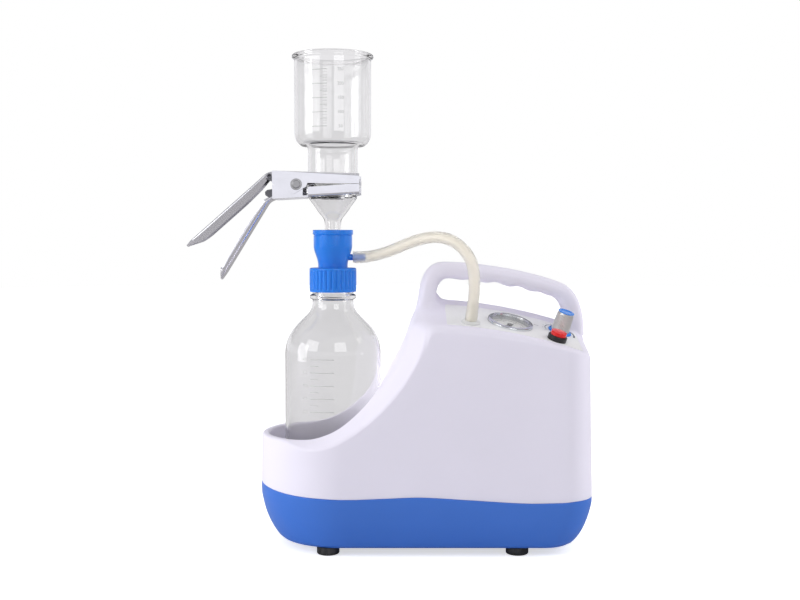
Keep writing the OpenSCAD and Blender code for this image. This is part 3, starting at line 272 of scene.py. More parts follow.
def spline(points, per_span):
    """A smooth curve through points (Catmull-Rom): each span is a cubic whose end slopes
    are half the chord between the neighbours."""
    p = np.asarray(points, float)
    p = np.vstack([2 * p[0] - p[1], p, 2 * p[-1] - p[-2]])
    t = np.linspace(0, 1, per_span, endpoint=False)[None, :, None]
    a, b, c, d = (p[i:len(p) - 3 + i, None, :] for i in range(4))
    curve = 0.5 * (2 * b + (c - a) * t + (2 * a - 5 * b + 4 * c - d) * t ** 2
                   + (3 * b - a - 3 * c + d) * t ** 3)
    return np.vstack([curve.reshape(-1, p.shape[1]), p[-2]])


def rounded(corners, steps=5):
    """An open (radius, height) profile from (x, z, size) corners. Each corner with a size
    is swapped for a quadratic curve that starts and ends that many mm before and after."""
    p, sizes = np.asarray(corners, float)[:, :2], [corner[2] for corner in corners]
    out = [p[0]]
    for before, point, after, size in zip(p, p[1:], p[2:], sizes[1:]):
        if size:
            ways = [(side, np.linalg.norm(side)) for side in (before - point, after - point)]
            ends = [point + side / length * min(size, 0.48 * length) for side, length in ways]
            out.extend(bezier([ends[0], point, ends[1]], steps))
        else:
            out.append(point)
    return np.array(out + [p[-1]])


def lathe(profile, sides, ripple=None):
    """Points and faces of a profile turned about the bottle's axis. Each (radius, height)
    point becomes a ring: radius times cosine and sine of the angle. A ripple changes the
    radius round the ring."""
    angle = np.arange(sides) * 2 * np.pi / sides
    r = np.repeat(profile[:, :1], sides, axis=1)
    if ripple is not None:
        r = ripple(r, profile[:, 1:2], angle[None, :])
    points = np.stack([AXIS_X + r * np.cos(angle), r * np.sin(angle),
                       np.repeat(profile[:, 1:2], sides, axis=1)], axis=-1)
    return points.reshape(-1, 3), grid_faces(len(profile), sides)


print("helpers for surfaces are ready")

# %% Helpers for solids and finished pieces
finish_of = {}      # piece name: the finish it gets at the end


def object_from(bm, name):
    """A new object that holds this mesh."""
    mesh = bpy.data.meshes.new(name)
    bm.to_mesh(mesh)
    bm.free()
    obj = bpy.data.objects.new(name, mesh)
    bpy.context.scene.collection.objects.link(obj)
    return obj


def solid(name, chunks, weld=2e-6, thin=1e-8):
    """An object from (points in mm, faces) chunks, joined, welded where points touch, with
    its faces turned outwards."""
    bm = bmesh.new()
    for points, faces in chunks:
        mesh = bpy.data.meshes.new("chunk")
        mesh.from_pydata((np.asarray(points).reshape(-1, 3) * MM).tolist(), [],
                         [list(map(int, face)) for face in faces])
        bm.from_mesh(mesh)
        bpy.data.meshes.remove(mesh)
    if weld:
        bmesh.ops.remove_doubles(bm, verts=bm.verts, dist=weld)
    bmesh.ops.dissolve_degenerate(bm, edges=bm.edges, dist=thin)
    bmesh.ops.recalc_face_normals(bm, faces=bm.faces)
    return object_from(bm, name)


def open_edges(obj):
    """How many edges don't have exactly two faces; 0 on a closed surface."""
    bm = bmesh.new()
    bm.from_mesh(obj.data)
    count = sum(len(edge.link_faces) != 2 for edge in bm.edges)
    bm.free()
    return count


def tie(obj, body, stands_for, slot, look=None):
    """Ties a piece to its body, to the CAD nodes it stands for and to its slot."""
    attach(obj, body)
    if stands_for:
        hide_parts(*stands_for)
    finish_of[obj.name] = look or slot
    print(obj.name, len(obj.data.vertices), "points,", len(obj.data.polygons), "faces")


def finish_piece(obj, name, body, stands_for, slot, angle=35):
    """Names a solid, shades it smooth except at edges sharper than angle degrees, and
    ties it."""
    obj.name = obj.data.name = name
    obj.data.polygons.foreach_set("use_smooth", [True] * len(obj.data.polygons))
    if angle:
        obj.data.set_sharp_from_angle(angle=math.radians(angle))
    tie(obj, body, stands_for, slot)
    return obj


def turned(name, profile, sides, node, slot, angle, ripple=None):
    """A finished piece from a closed profile turned about the axis."""
    return finish_piece(solid(node, [lathe(profile, sides, ripple)]), name, body_of[node],
                        (node,), slot, angle)


def loop(*parts):
    """Profile parts in a row, with the first point again at the end."""
    profile = np.vstack(parts)
    return np.vstack([profile, profile[:1]])


def cut(target, cutter, operation="DIFFERENCE"):
    """Cuts the cutter out of the target, or joins them, and deletes the cutter."""
    step = target.modifiers.new("cut", "BOOLEAN")
    step.operation, step.solver, step.object = operation, "MANIFOLD", cutter
    with bpy.context.temp_override(object=target, active_object=target):
        bpy.ops.object.modifier_apply(modifier=step.name)
    bpy.data.objects.remove(cutter)


def slab(outline, axis, start, end, shift=(0, 0, 0)):
    """A flat outline (2-D points, anticlockwise) carried straight along axis 0, 1 or 2
    from start to end, closed by a fan of faces at each end."""
    ends = [np.insert(outline, axis, level, axis=1) for level in (start, end)]
    fans = [np.repeat(e.mean(axis=0, keepdims=True), len(outline), 0) for e in ends]
    return (np.stack([fans[0], *ends, fans[1]]) + shift).reshape(-1, 3), grid_faces(4, len(outline))


def round_box(w, h, r, steps=6):
    """The outline of a w by h rectangle with corners of radius r: four quarter circles."""
    a = (np.arange(4)[:, None] + np.linspace(0, 1, steps)) * np.pi / 2
    cx = np.array([w / 2 - r, r - w / 2, r - w / 2, w / 2 - r])[:, None]
    cy = np.array([h / 2 - r, h / 2 - r, r - h / 2, r - h / 2])[:, None]
    return np.stack([cx + r * np.cos(a), cy + r * np.sin(a)], axis=-1).reshape(-1, 2)


print("helpers for solids are ready")

# %% [markdown]
# ## The suction hose
# On the real unit a translucent silicone hose, 12 mm across, leaves the barb of the blue
# adapter to the right, rises over the handle's end and drops on the panel's inlet. It is
# soft rubber of a fixed length held at both ends, so it is made first: a smooth curve
# through the route's points, and a tube with a real bore carried along it. Its sections
# never twist, because each is turned as little as the curve. Over the barb's rings and
# the inlet the hose swells a little.

# %% Route of the hose
HOSE_ROUTE = [(-35.1, 0, 299.8), (-27, 0, 299.8), (-18, -1, 300.6), (-8, -4, 302.8),
              (3, -9, 306.2), (14, -15.5, 310.6), (25.5, -23.5, 315.4), (37.5, -33, 319.2),
              (50, -42.5, 321), (61.5, -51.5, 319.6), (72, -58, 314.4), (80.5, -62.5, 306),
              (86.4, -65, 295), (88.8, -65.6, 282.5), (89, -64.6, 269), (88.2, -61.6, 256),
              (87.3, -58, 245.4), (86.5, -55.8, 237.8)]
HOSE_R, HOSE_BORE_R, HOSE_SIDES = 5.85, 3.95, 24


def tube(route, radius, bore, sides):
    """An open-ended tube as one closed skin. Each ring is radius times (cosine, sine) on
    two directions square to the route; the bore's rings follow the same way back."""
    ahead = np.gradient(route, axis=0)
    ahead /= np.linalg.norm(ahead, axis=1)[:, None]
    side = np.empty_like(route)
    side[0] = np.cross(ahead[0], (0, 0, 1))
    for i in range(1, len(route)):
        side[i] = side[i - 1] - ahead[i] * np.dot(side[i - 1], ahead[i])
        side[i] /= np.linalg.norm(side[i])
    up = np.cross(side, ahead)
    c, s = circle(sides).T[:, None, :, None]
    ring = c * side[:, None] + s * up[:, None]
    outer, inner = (route[:, None] + ring * r[:, None, None] for r in (radius, bore))
    skin = np.concatenate([outer, inner[::-1], outer[:1]])
    return skin.reshape(-1, 3), grid_faces(len(skin), sides)


hose_path = spline(HOSE_ROUTE, 6)
along = np.concatenate([[0], np.cumsum(np.linalg.norm(np.diff(hose_path, axis=0), axis=1))])
hose_length = along[-1]
swell = 0.32 * sum(np.exp(-((along - at) / 1.6) ** 2) for at in (3.5, 8.5, 13.5))
swell += 0.35 * (1 / (1 + np.exp(-(along - hose_length + 9) / 0.8)))
hose = solid("hose", [tube(hose_path, HOSE_R + swell, HOSE_BORE_R + swell, HOSE_SIDES)], 1e-5, 1e-7)
finish_piece(hose, "silicone_hose", "unit", ("suction_hose",), "hose_silicone", None)
print("hose is", round(hose_length, 1), "mm long")

# %% [markdown]
# ## The white housing
# The real housing is one injection moulding in white ABS: a tub that is a half ellipse at
# the left and square with round corners at the right, a low rim that climbs in an S round
# the bottle's well into a tower, a sloping roof for the controls and a carry handle that
# grows out of both ends of the roof. The whole skin is one surface: columns run round the
# plan, and each goes up the wall, over a soft edge and across the top, to the rim of the
# well or to the roof's ridge. One function of the place gives the top's height, so the S,
# the twist of the band round the well and the shoulders stay one smooth skin.

# %% Plan and top of the housing, as functions
CORNER_R, END_BOW, LEFT_CX, SHELL_WALL = 27.0, 3.5, 12.5, 3.0
# height, half length of the left ellipse, half depth, reach to the right
SIDES = spline([(8, 68, 66, 244), (18, 75.5, 69.8, 252), (31, 82, 74, 258), (46, 86.4, 76.8, 262.4),
                (60, 88, 78, 264), (104, 87.4, 77.4, 263.2), (160, 86.6, 76.9, 262.6),
                (262, 84, 76, 261.5)], 10)
# share of the way round, height of the seam there: a slow wave, highest at the left end
SEAM = spline([(0, 65.2), (0.17, 64.8), (0.6, 61.7), (0.87, 60.6), (1.04, 60.1), (1.2, 61.4),
               (1.36, 62.5), (1.58, 59.7), (1.8, 56.7), (1.95, 56.8), (2.1, 58.2), (2.4, 58.6),
               (3, 58.6)], 8)
RIDGE_X, RIDGE_Z, ROOF_R, ROOF_SLOPE = 85.0, 256.0, 526.0, 0.265
TRAY = np.array([-41.0, 116.0])


def plan(share, z):
    """The front half of the body's outline at height z, for shares 0 to 3 of the way
    round. 0 to 1 is the half ellipse's quarter: x = cx - a cos, y = -half sin. 1 to 2 is
    the straight front, and 2 to 3 the round corner and the bowed right end."""
    share, z = np.broadcast_arrays(np.asarray(share, float), np.asarray(z, float))
    a, half, reach = (np.interp(z, SIDES[:, 0], SIDES[:, i]) for i in (1, 2, 3))
    t = np.clip(share, 0, 1) * np.pi / 2
    x, y = LEFT_CX - a * np.cos(t), -half * np.sin(t)
    x = x + np.clip(share - 1, 0, 1) * (reach - CORNER_R - LEFT_CX)
    quarter = CORNER_R * np.pi / 2
    d = np.clip(share - 2, 0, 1) * (quarter + (half - CORNER_R))
    turn = np.clip(d / quarter, 0, 1) * np.pi / 2
    x = x + CORNER_R * np.sin(turn)
    y = np.where(share > 2, -half + CORNER_R * (1 - np.cos(turn)) + np.clip(d - quarter, 0, None), y)
    bow = END_BOW * (1 - (np.clip(np.abs(y), 0, half) / half) ** 2)
    return x + np.where(share > 2, bow, 0), y


def drawn_in(x, y, share, amounts):
    """A wall whose first rows are drawn in by these amounts, for a small shadow gap."""
    inset = np.zeros((len(x), 1))
    inset[:len(amounts), 0] = amounts
    return (x + inset * np.interp(share, [0, 1, 2, 2.4, 3], [1, 0, 0, -0.8, -1]),
            y + inset * np.interp(share, [0, 0.6, 2, 2.4, 3], [0, 1, 1, 0.2, 0]))


def seam(share):
    """Height of the seam between the white and the blue shell, along the smooth wave."""
    return np.interp(share, SEAM[:, 0], SEAM[:, 1])


def roof(x, y):
    """Height of the roof: its ridge, the upper part of a large circle, less a 5 mm step
    beside the spine, less an even forward slope, less a quarter ellipse at the right."""
    depth = np.abs(y)
    step = np.clip((depth - 2.4) / 4, 0, 1)
    step = 5 * step * step * (3 - 2 * step)
    u = np.clip((x - 250) / 21, 0, 0.98)
    ridge = RIDGE_Z - ROOF_R + np.sqrt(ROOF_R ** 2 - (x - RIDGE_X) ** 2)
    return ridge - step - ROOF_SLOPE * np.clip(depth - 6, 0, None) - 27 * (1 - np.sqrt(1 - u * u))


def side_view(depth, xs):
    """Heights of the top along xs at one depth: a Bezier curve from the tray up to the
    shoulder, then a quarter round into the roof. The band leans more and more from the
    well's side (0) to the body's wall (1)."""
    t = (depth - 57) / 21
    lean = 0.5 * (t + np.sqrt(t * t + 0.012))
    crest = roof(96.0, max(depth, 6.5)) - 9
    end = np.array([88.5 - (RIDGE_Z - 6 - crest) * 0.3 + 19 * lean, crest])
    tray = TRAY - (0, 12 * lean)
    rise = bezier([tray, tray + (60, 0), end - (18, 60), end], 60)
    start = np.array([end[0] + 14, roof(end[0] + 14, depth)])
    line = np.vstack([[(-95, tray[1])], rise, bezier([end, end + (2.7, 8.6), start], 14)[1:]])
    return np.where(xs > start[0], roof(xs, depth), np.interp(xs, line[:, 0], line[:, 1]))


# the side views at every half millimetre of depth and of length
TOP_TABLE = np.array([side_view(depth, np.linspace(-90, 270, 721)) for depth in np.linspace(0, 82, 165)])


def top_height(x, y):
    """Height of the housing's top, between the nearest four entries of the table."""
    x, y = np.broadcast_arrays(np.asarray(x, float), np.asarray(y, float))
    fx = np.clip((x + 90) / 0.5, 0, 719.99)
    fd = np.clip(np.abs(y) * 2, 0, 163.99)
    ix, i_d = fx.astype(int), fd.astype(int)
    wx, wd = fx - ix, fd - i_d
    near, far = (TOP_TABLE[i, ix] * (1 - wx) + TOP_TABLE[i, ix + 1] * wx for i in (i_d, i_d + 1))
    return near * (1 - wd) + far * wd


print("top of the housing at the tray, the shoulder and the roof:",
      top_height([-60, 95, 180], [0, -60, -40]).round(1))

# %% Handle: its path and its sections
HANDLE_TOP, GRIP_T, LEG_X, FINGER_WAVE = 295.0, 17.5, 265.0, 1.25


def handle_edges(steps=72):
    """The outer and inner edge of the handle seen from the front, matched point by point:
    each is three Bezier curves, and the inner one has four shallow finger waves."""
    low, grip = steps // 5, steps - 2 * (steps // 5)
    under = HANDLE_TOP - GRIP_T
    counts = low, grip + 1, low + 1
    outer, inner = ([bezier(curve, count) for curve, count in zip(curves, counts)] for curves in (
        ([(87.4, 236), (90.5, 262), (91, HANDLE_TOP), (117, HANDLE_TOP)],
         [(117, HANDLE_TOP), (150, HANDLE_TOP), (205, 287), (241, 273)],
         [(241, 273), (259, 266), (LEG_X, 246), (LEG_X, 218)]),
        ([(108, 236), (108, 260), (109, under), (122, under)],
         [(122, under), (160, under), (200, 270), (230, 259)],
         [(230, 259), (239, 255), (244, 249), (244, 218)])))
    t = np.linspace(0, 1, grip + 1)
    inner[1][:, 1] += FINGER_WAVE * (np.cos(4.5 * 2 * np.pi * t) - 1) * np.sin(np.pi * t) ** 0.6
    return [np.vstack([first, middle[1:], last[1:]]) for first, middle, last in (outer, inner)]


def handle_skin(around=40):
    """The handle's closed skin. Each section spans the two edges: the middle, plus half
    the span times a superellipse's cosine, and the depth of 15 mm times its sine. At the
    left foot the depth grows, as the real leg flares into the tower."""
    outer, inner = handle_edges()
    mid, half = (outer + inner) / 2, (outer - inner) / 2
    foot = np.clip(1 - np.arange(len(outer)) / 15, 0, 1)
    depth = 15 * (1 + 0.5 * foot ** 2)
    u, v = (np.sign(w) * np.abs(w) ** 0.66 for w in circle(around).T)
    points = np.stack([AXIS_X + mid[:, :1] + half[:, :1] * u, depth[:, None] * v,
                       mid[:, 1:] + half[:, 1:] * u], axis=-1)
    caps = [np.repeat(end.mean(axis=0)[None, None], around, 1) for end in (points[0], points[-1])]
    skin = np.concatenate([caps[0], points, caps[1]])
    return skin, grid_faces(len(skin), around)


def skirt(x, y):
    """A concave fillet round the foot of each leg: near the leg's outline the surface
    rises as a quarter circle, and it is level far from it. On the side where the leg is
    flush with the body the rise fades out."""
    rise = np.zeros_like(x)
    for cx, hx, hy, r, flush, turn in ((98.5, 9.5, 17.5, 12.0, 85.0, 9.0),
                                       (254.5, 9.0, 13.0, 8.0, 264.0, -8.0)):
        qx, qy = np.abs(x - cx) - (hx - 5), np.abs(y) - (hy - 5)
        d = np.hypot(np.clip(qx, 0, None), np.clip(qy, 0, None)) + np.minimum(np.maximum(qx, qy), 0) - 5
        d = np.clip(d, 0, r)
        fade = np.clip((x - flush) / turn, 0, 1)
        rise = np.maximum(rise, (r - np.sqrt(r * r - (r - d) ** 2)) * fade * fade * (3 - 2 * fade))
    return rise


print("handle:", len(handle_edges()[0]), "sections")

# %% [markdown]
# The columns are closer together where the skin bends most. The soft edge between wall
# and top is a quarter round measured square to the edge: where the band is steep the drop
# is longer, so the edge looks equally soft all the way. The inside of the wall is the
# same grid moved 3 mm along its normals, which makes the shell a real closed solid.

# %% Columns and rows of the housing's grid
WELL_R, WELL_X, WELL_FLOOR, WELL_CORNER, WELL_WALL = 58.0, (-9.0, 1.0), 59.0, 7.0, 2.6
REACHED = 1.3       # the share of the way round where the well's rim ends


def well_rim(share):
    """The front half of the well's rim for the same shares: a stadium's outline walked by
    arc length from its left end round the front to its right end, and the roof's ridge
    line after that."""
    quarter = WELL_R * np.pi / 2
    flat = WELL_X[1] - WELL_X[0]
    walked = np.interp(share, [0, 1, REACHED], [0, quarter + flat + 12, 2 * quarter + flat])
    angle = np.pi - (np.minimum(walked, quarter) + np.maximum(walked - quarter - flat, 0)) / WELL_R
    x = WELL_X[0] + np.clip(walked - quarter, 0, flat) + WELL_R * np.cos(angle)
    end = WELL_X[1] + WELL_R
    x = np.where(share > REACHED, np.interp(share, [REACHED, 1.5, 2, 3], [end, 121, 226, 254]), x)
    return x, np.where(share >= REACHED, 0, -WELL_R * np.sin(angle))


def offset(grid, distance):
    """Each grid point moved along the surface's normal, which is the cross product of the
    steps to its neighbours in the grid's two directions. Points of the middle plane stay
    in it."""
    normal = np.cross(np.gradient(grid, axis=1), np.gradient(grid, axis=0))
    size = np.linalg.norm(normal, axis=-1, keepdims=True)
    moved = grid + normal / np.maximum(size, 1e-9) * distance
    moved[..., 1] = np.where(np.abs(grid[..., 1]) < 1e-6, 0, np.minimum(moved[..., 1], -0.03))
    return moved


shares = np.unique(np.concatenate([np.linspace(*span) for span in (
    (0, 1, 50), (1, 1.28, 34), (1.28, 1.46, 44), (1.46, 1.94, 26), (1.94, 2.25, 14), (2.25, 3, 34))]
    + [[REACHED]]).round(6))
m = int(np.sum(shares <= REACHED))
px, py = plan(shares, 200.0)
for _ in range(4):
    rim_h = top_height(px, py)
    px, py = plan(shares, rim_h)
slope = np.gradient(rim_h) / np.maximum(np.hypot(np.gradient(px), np.gradient(py)), 1e-6)
edge_r = np.interp(rim_h, [108, 135, 205, 224, 234], [3.4, 2.3, 2.3, 5.5, 7.0])
drop = edge_r * np.sqrt(1 + slope ** 2)
print("columns", len(shares), "of which", m, "reach the well")

# %% Skin of the housing, row by row
seam_z = seam(shares)
wall_z = seam_z + np.concatenate([[0, 0.35, 1.0], np.linspace(4, 100, 13)])[:, None] / 100 \
    * (rim_h - drop - seam_z)[None, :]
wall_z[1], wall_z[2] = seam_z + 0.35, seam_z + 1.0
wall_x, wall_y = drawn_in(*plan(shares[None, :], wall_z), shares, [0.75, 0.25])

end_x, end_y = well_rim(shares)
span = np.hypot(end_x - wall_x[-1], end_y - wall_y[-1])
turn = np.linspace(0, np.pi / 2, 10)[1:, None]
soft = np.minimum(edge_r * (1 - np.cos(turn)), 0.45 * span * np.linspace(1 / 9, 1, 9)[:, None])
flat = soft[-1:] + (span - soft[-1:]) * (1 - (1 - np.linspace(0, 1, 42)[1:, None]) ** 1.5)
inward = np.vstack([soft, flat])
top_x = wall_x[-1] + (end_x - wall_x[-1]) * inward / span
top_y = wall_y[-1] + (end_y - wall_y[-1]) * inward / span
near_wall = np.clip(1 - inward / edge_r, 0, 1)
near_rim = np.where(shares <= REACHED, np.clip(1 - (span - inward) / WELL_WALL, 0, 1), 0)
top_z = top_height(top_x, top_y) + skirt(top_x, top_y) \
    - drop * (1 - np.sqrt(1 - near_wall ** 2)) - WELL_WALL * (1 - np.sqrt(1 - near_rim ** 2))
skin = np.stack([np.vstack([wall_x, top_x]), np.vstack([wall_y, top_y]),
                 np.vstack([wall_z, top_z])], axis=-1)

rim = skin[-1, :m]
to_mid = np.stack([np.clip(rim[:, 0], *WELL_X) - rim[:, 0], -rim[:, 1]], axis=-1)
reach = np.linalg.norm(to_mid, axis=1)
to_mid /= reach[:, None]
down = np.linspace(0, 1, 9)[:, None]
bend = np.linspace(0, np.pi / 2, 7)[1:, None]
in_far = np.vstack([0 * down * reach, WELL_CORNER * (1 - np.cos(bend)) * np.ones(m),
                    WELL_CORNER + (reach - WELL_CORNER) * np.linspace(0, 1, 6)[1:, None]])
well_z = np.vstack([rim[:, 2] + (WELL_FLOOR + WELL_CORNER - rim[:, 2]) * down,
                    WELL_FLOOR + WELL_CORNER * (1 - np.sin(bend)) * np.ones(m),
                    np.full((5, m), WELL_FLOOR)])
well = np.stack([rim[:, 0] + to_mid[:, 0] * in_far, rim[:, 1] + to_mid[:, 1] * in_far, well_z], axis=-1)
print("rows", len(skin), "of wall and top, and", len(well), "of the well")


# %% Close the shell
def both_halves(grid):
    """A front half grid and its mirror image behind the middle plane, placed on the
    bottle's axis."""
    front = grid + (AXIS_X, 0, 0)
    faces = grid_faces(*grid.shape[:2], closed=False)
    return [(front, faces), (front * (1, -1, 1), faces[:, ::-1])]


inside, inside_well = offset(skin, -SHELL_WALL), offset(well, -WELL_WALL)
inside_well[0] = inside[-1, :m]
shell = solid("housing", both_halves(np.concatenate([inside[::-1], skin]))
              + both_halves(well) + both_halves(inside_well))
print("shell:", len(shell.data.vertices), "points, open edges:", open_edges(shell))

# %% Cut the inlet's recess, the vents and the gauge's hole, and join the handle
GAUGE, KNOB = (184.0, -38.0), (236.0, -28.0)
BACK, INLET_X, INLET_Z, GAUGE_HOLE_R = 78.0, 224.0, 98.0, 21.3


def panel_frame(place, height):
    """Turns 2-D points of a disc that lies square to the roof's normal, height mm above
    the roof, into 3-D: the roof's fall turns it about y, its forward slope about x."""
    x0, y0 = place
    fall = (x0 - RIDGE_X) / math.sqrt(ROOF_R ** 2 - (x0 - RIDGE_X) ** 2)
    ax, ay = math.asin(ROOF_SLOPE / math.sqrt(1 + fall ** 2 + ROOF_SLOPE ** 2)), math.atan(fall)
    z0 = float(roof(np.array([x0]), y0)[0])

    def wrap(p):
        y1 = p[:, 1] * math.cos(ax) - height * math.sin(ax)
        z1 = p[:, 1] * math.sin(ax) + height * math.cos(ax)
        return np.stack([AXIS_X + x0 + p[:, 0] * math.cos(ay) + z1 * math.sin(ay), y0 + y1,
                         z0 - p[:, 0] * math.sin(ay) + z1 * math.cos(ay)], axis=-1)
    return wrap


for name, outline, start, end, operation in (
        ("pocket", round_box(62, 40, 6), 62, BACK - 1.5, "UNION"),
        ("recess", round_box(54, 32, 4), BACK - 6.2, BACK + 6, "DIFFERENCE"),
        ("window", round_box(31, 23, 1), 50, BACK, "DIFFERENCE")):
    cut(shell, solid(name, [slab(outline, 1, start, end, (AXIS_X + INLET_X, 0, INLET_Z))]), operation)
cut(shell, solid("vents", [slab(round_box(3, 32, 1.49), 1, BACK - 12, BACK + 8, (AXIS_X + x + 1.5, 0, 166))
                           for x in range(150, 223, 9)]))
ring = GAUGE_HOLE_R * circle(72)
hole_faces = grid_faces(2, 72).tolist() + [list(range(72)), list(range(143, 71, -1))]
hole_points = np.vstack([panel_frame(GAUGE, height)(ring) for height in (-9, 6)])
cut(shell, solid("gauge_hole", [(hole_points, hole_faces)]))
handle = solid("handle", [handle_skin()])
print("handle's open edges:", open_edges(handle), "shell's:", open_edges(shell))
cut(shell, handle, "UNION")
finish_piece(shell, "housing_shell", "unit", ("upper_housing",), "white_housing", 42)

# %% [markdown]
# ## The blue base
# The lower shell is the same plan drawn in as it goes down, like a boat's hull, with a
# thin shadow gap under the white housing. It is one grid too: down the outside, round the
# bottom edge and in to the middle, and the inside 3 mm behind it. The slots under the
# pump and the holes for the posts' screws are cut out of the closed shell.

# %% Build the base
FOOT_H = 8.0
POSTS = [(-28, -30), (-28, 30), (110, -58), (110, 58), (232, -52), (232, 52)]
base_shares = shares[::2] if shares[::2][-1] == 3 else np.append(shares[::2], 3.0)
base_seam = seam(base_shares) - 0.06
below = np.concatenate([[0, 0.34, 0.94], np.linspace(2.6, 48.2, 26)])[:, None] / 48.2
side_z = base_seam - below * (base_seam - FOOT_H - 2.6)
base_x, base_y = drawn_in(*plan(base_shares[None, :], side_z), base_shares, [0.7, 0.2])
low_x, low_y = plan(base_shares, FOOT_H)
bottom = np.concatenate([np.linspace(1.2, 5, 5), np.linspace(9, 100, 12)])[:, None] / 100
bottom_z = FOOT_H + np.array([1.5, 0.8, 0.35, 0.1] + [0.0] * 13)[:, None] * np.ones(len(base_shares))
base_grid = np.stack([
    np.vstack([base_x, low_x + (np.clip(low_x, -30, 215) - low_x) * bottom]),
    np.vstack([base_y, low_y * (1 - bottom)]),
    np.vstack([side_z, bottom_z])], axis=-1)
base_inside = offset(base_grid, SHELL_WALL)
base_inside[0, :, 2] = base_seam
base = solid("base", both_halves(np.concatenate([base_inside[::-1], base_grid])))
cut(base, solid("slots", [slab(round_box(3, 36, 1.4), 2, 0, 24, (AXIS_X + x + 1.5, 0, 0))
                          for x in range(60, 173, 8)]))
cut(base, solid("holes", [slab(circle(24) * 4.4, 2, 0, 30, (AXIS_X + x, y, 0)) for x, y in POSTS]))
finish_piece(base, "base_shell", "unit", ("lower_base",), "blue_base")

# %% [markdown]
# ## Glass
# The bottle, the funnel and the support base are blown and turned glass, so each is a
# profile spun about the axis: up the outside, over the rim and back down the inside. A
# true inner wall is what makes glass look like glass, because light bends at all four
# surfaces. Corners are small curves, as a flame leaves them.

# %% Bottle, one litre
NECK_R, WALL_GLASS, BIG_R, THROAT_R, HEEL_R = 21.7, 2.8, 42.0, 20.0, 9
shoulder_z = BOTTLE_Z + (NECK_TOP_Z - BOTTLE_Z) * 0.625
cos45 = math.cos(math.pi / 4)
edge_at = np.array([BOTTLE_R - BIG_R * (1 - cos45), shoulder_z + BIG_R * cos45])
run = (edge_at[0] - NECK_R - THROAT_R * (1 - cos45)) / cos45
throat_z = edge_at[1] + run * cos45 + THROAT_R * cos45


def bottle_side(w):
    """The bottle's side for a wall set in by w: heel, straight wall, big shoulder curve,
    45 degree run and the throat's curve into the neck."""
    return np.vstack([arc((BOTTLE_R - HEEL_R, BOTTLE_Z + HEEL_R), HEEL_R - w, -90, 0, 8),
                      column(BOTTLE_R - w, BOTTLE_Z + 15, shoulder_z - 6, 10),
                      arc((BOTTLE_R - BIG_R, shoulder_z), BIG_R - w, 0, 45, 14),
                      arc((NECK_R + THROAT_R, throat_z), THROAT_R + w, 225, 180, 9)])


inner_side = bottle_side(WALL_GLASS)
inner_side[:10, 1] += 3.2
neck = rounded([(NECK_R, 253.5, 0), (NECK_R, 255.2, 0.6), (NECK_R + 2.9, 256.2, 1), (NECK_R + 2.9, 260, 1),
                (NECK_R, 261.2, 0.6), (NECK_R, NECK_TOP_Z, 1.1), (NECK_R - WALL_GLASS, NECK_TOP_Z, 1.1),
                (NECK_R - WALL_GLASS, 262, 0)])
under, over = (np.array(line, float) + (0, BOTTLE_Z) for line in (
    [(0, 2.6), (12, 2.4), (26, 1.6), (34, 0.7)], [(26, 6.9), (12, 7.6), (0, 7.8)]))
turned("glass_bottle", np.vstack([under, bottle_side(0), neck, inner_side[::-1], over]), 128,
       "bottle", "clear_glass", 60)

# %% Funnel and support base
FLANGE_T, FLANGE_R, FUNNEL_R, NECK_IN, WALL_F = 9.8, 28.0, 40.5, 26.2, 3.0
FRIT_R, FRIT_T, STEM_R, FIT = 20.0, 3.4, 8.5, 0.3
z, top, body_z = FLANGE_Z, FUNNEL_TOP_Z, FUNNEL_TOP_Z - 83


def funnel_side(w):
    """The funnel's throat and shoulder curve, for a wall set in by w."""
    return np.vstack([arc((NECK_IN + 7, body_z - 17.6), 7 + w, 180, 122, 7),
                      arc((FUNNEL_R - 15, body_z), 15 - w, -58, 0, 12)])


turned("glass_funnel", loop(
    rounded([(NECK_IN - WALL_F - 3, z, 0), (FLANGE_R, z, 0.8), (FLANGE_R, z + FLANGE_T, 1.6),
             (NECK_IN, z + FLANGE_T, 1.2), (NECK_IN, z + FLANGE_T + 5, 0)]),
    funnel_side(0), [(FUNNEL_R, top - 40), (FUNNEL_R, top - 7), (FUNNEL_R + 0.2, top - 5.4)],
    arc((FUNNEL_R + 0.1, top - 2.4), 2.4, -50, 90, 9),
    arc((FUNNEL_R - WALL_F + 1.4, top - 1.4), 1.4, 90, 180, 5),
    [(FUNNEL_R - WALL_F, top - 40)], funnel_side(WALL_F)[::-1],
    rounded([(NECK_IN - WALL_F, z + 14, 0), (NECK_IN - WALL_F, z + 8, 1.5),
             (NECK_IN - WALL_F - 3, z, 0)])[:-1]), 128, "funnel", "clear_glass", 50)

bell = spline([(STEM_R, z - 41.5), (STEM_R + 0.6, z - 37.2), (STEM_R + 2.3, z - 34), (STEM_R + 4.8, z - 31),
               (STEM_R + 8, z - 26.8), (STEM_R + 11, z - 22.4), (STEM_R + 15, z - 16.9),
               (NECK_IN - 0.6, z - 13.4), (NECK_IN, z - FLANGE_T - 0.4)], 4)
turned("glass_support_base", loop(
    [(STEM_R - WALL_F, 291.8), (STEM_R - 0.3, 295.2), (STEM_R, 296.4)], bell,
    rounded([(NECK_IN, z - FLANGE_T, 0), (FLANGE_R, z - FLANGE_T, 1.6), (FLANGE_R, z, 0.8),
             (FRIT_R + FIT, z, 0.2), (FRIT_R + FIT, z - FRIT_T, 0.2), (FRIT_R - 2, z - FRIT_T, 0.2),
             (FRIT_R - 2, z - 12, 0)]),
    (bell - (WALL_F, -0.8))[:-6][::-1], [(STEM_R - WALL_F, 296.4)]), 96, "support_base", "clear_glass", 50)

# %% [markdown]
# ## Screw cap and bottle adapter
# The cap is a short tub with thirty grip ribs. Its outline is a circle whose radius
# follows the absolute value of a cosine, so the ribs are round and the grooves sharp, and
# a mask on the height fades them out at both ends. The adapter is a blue cup with a side
# barb for the hose; cup and barb are two closed solids joined in one.

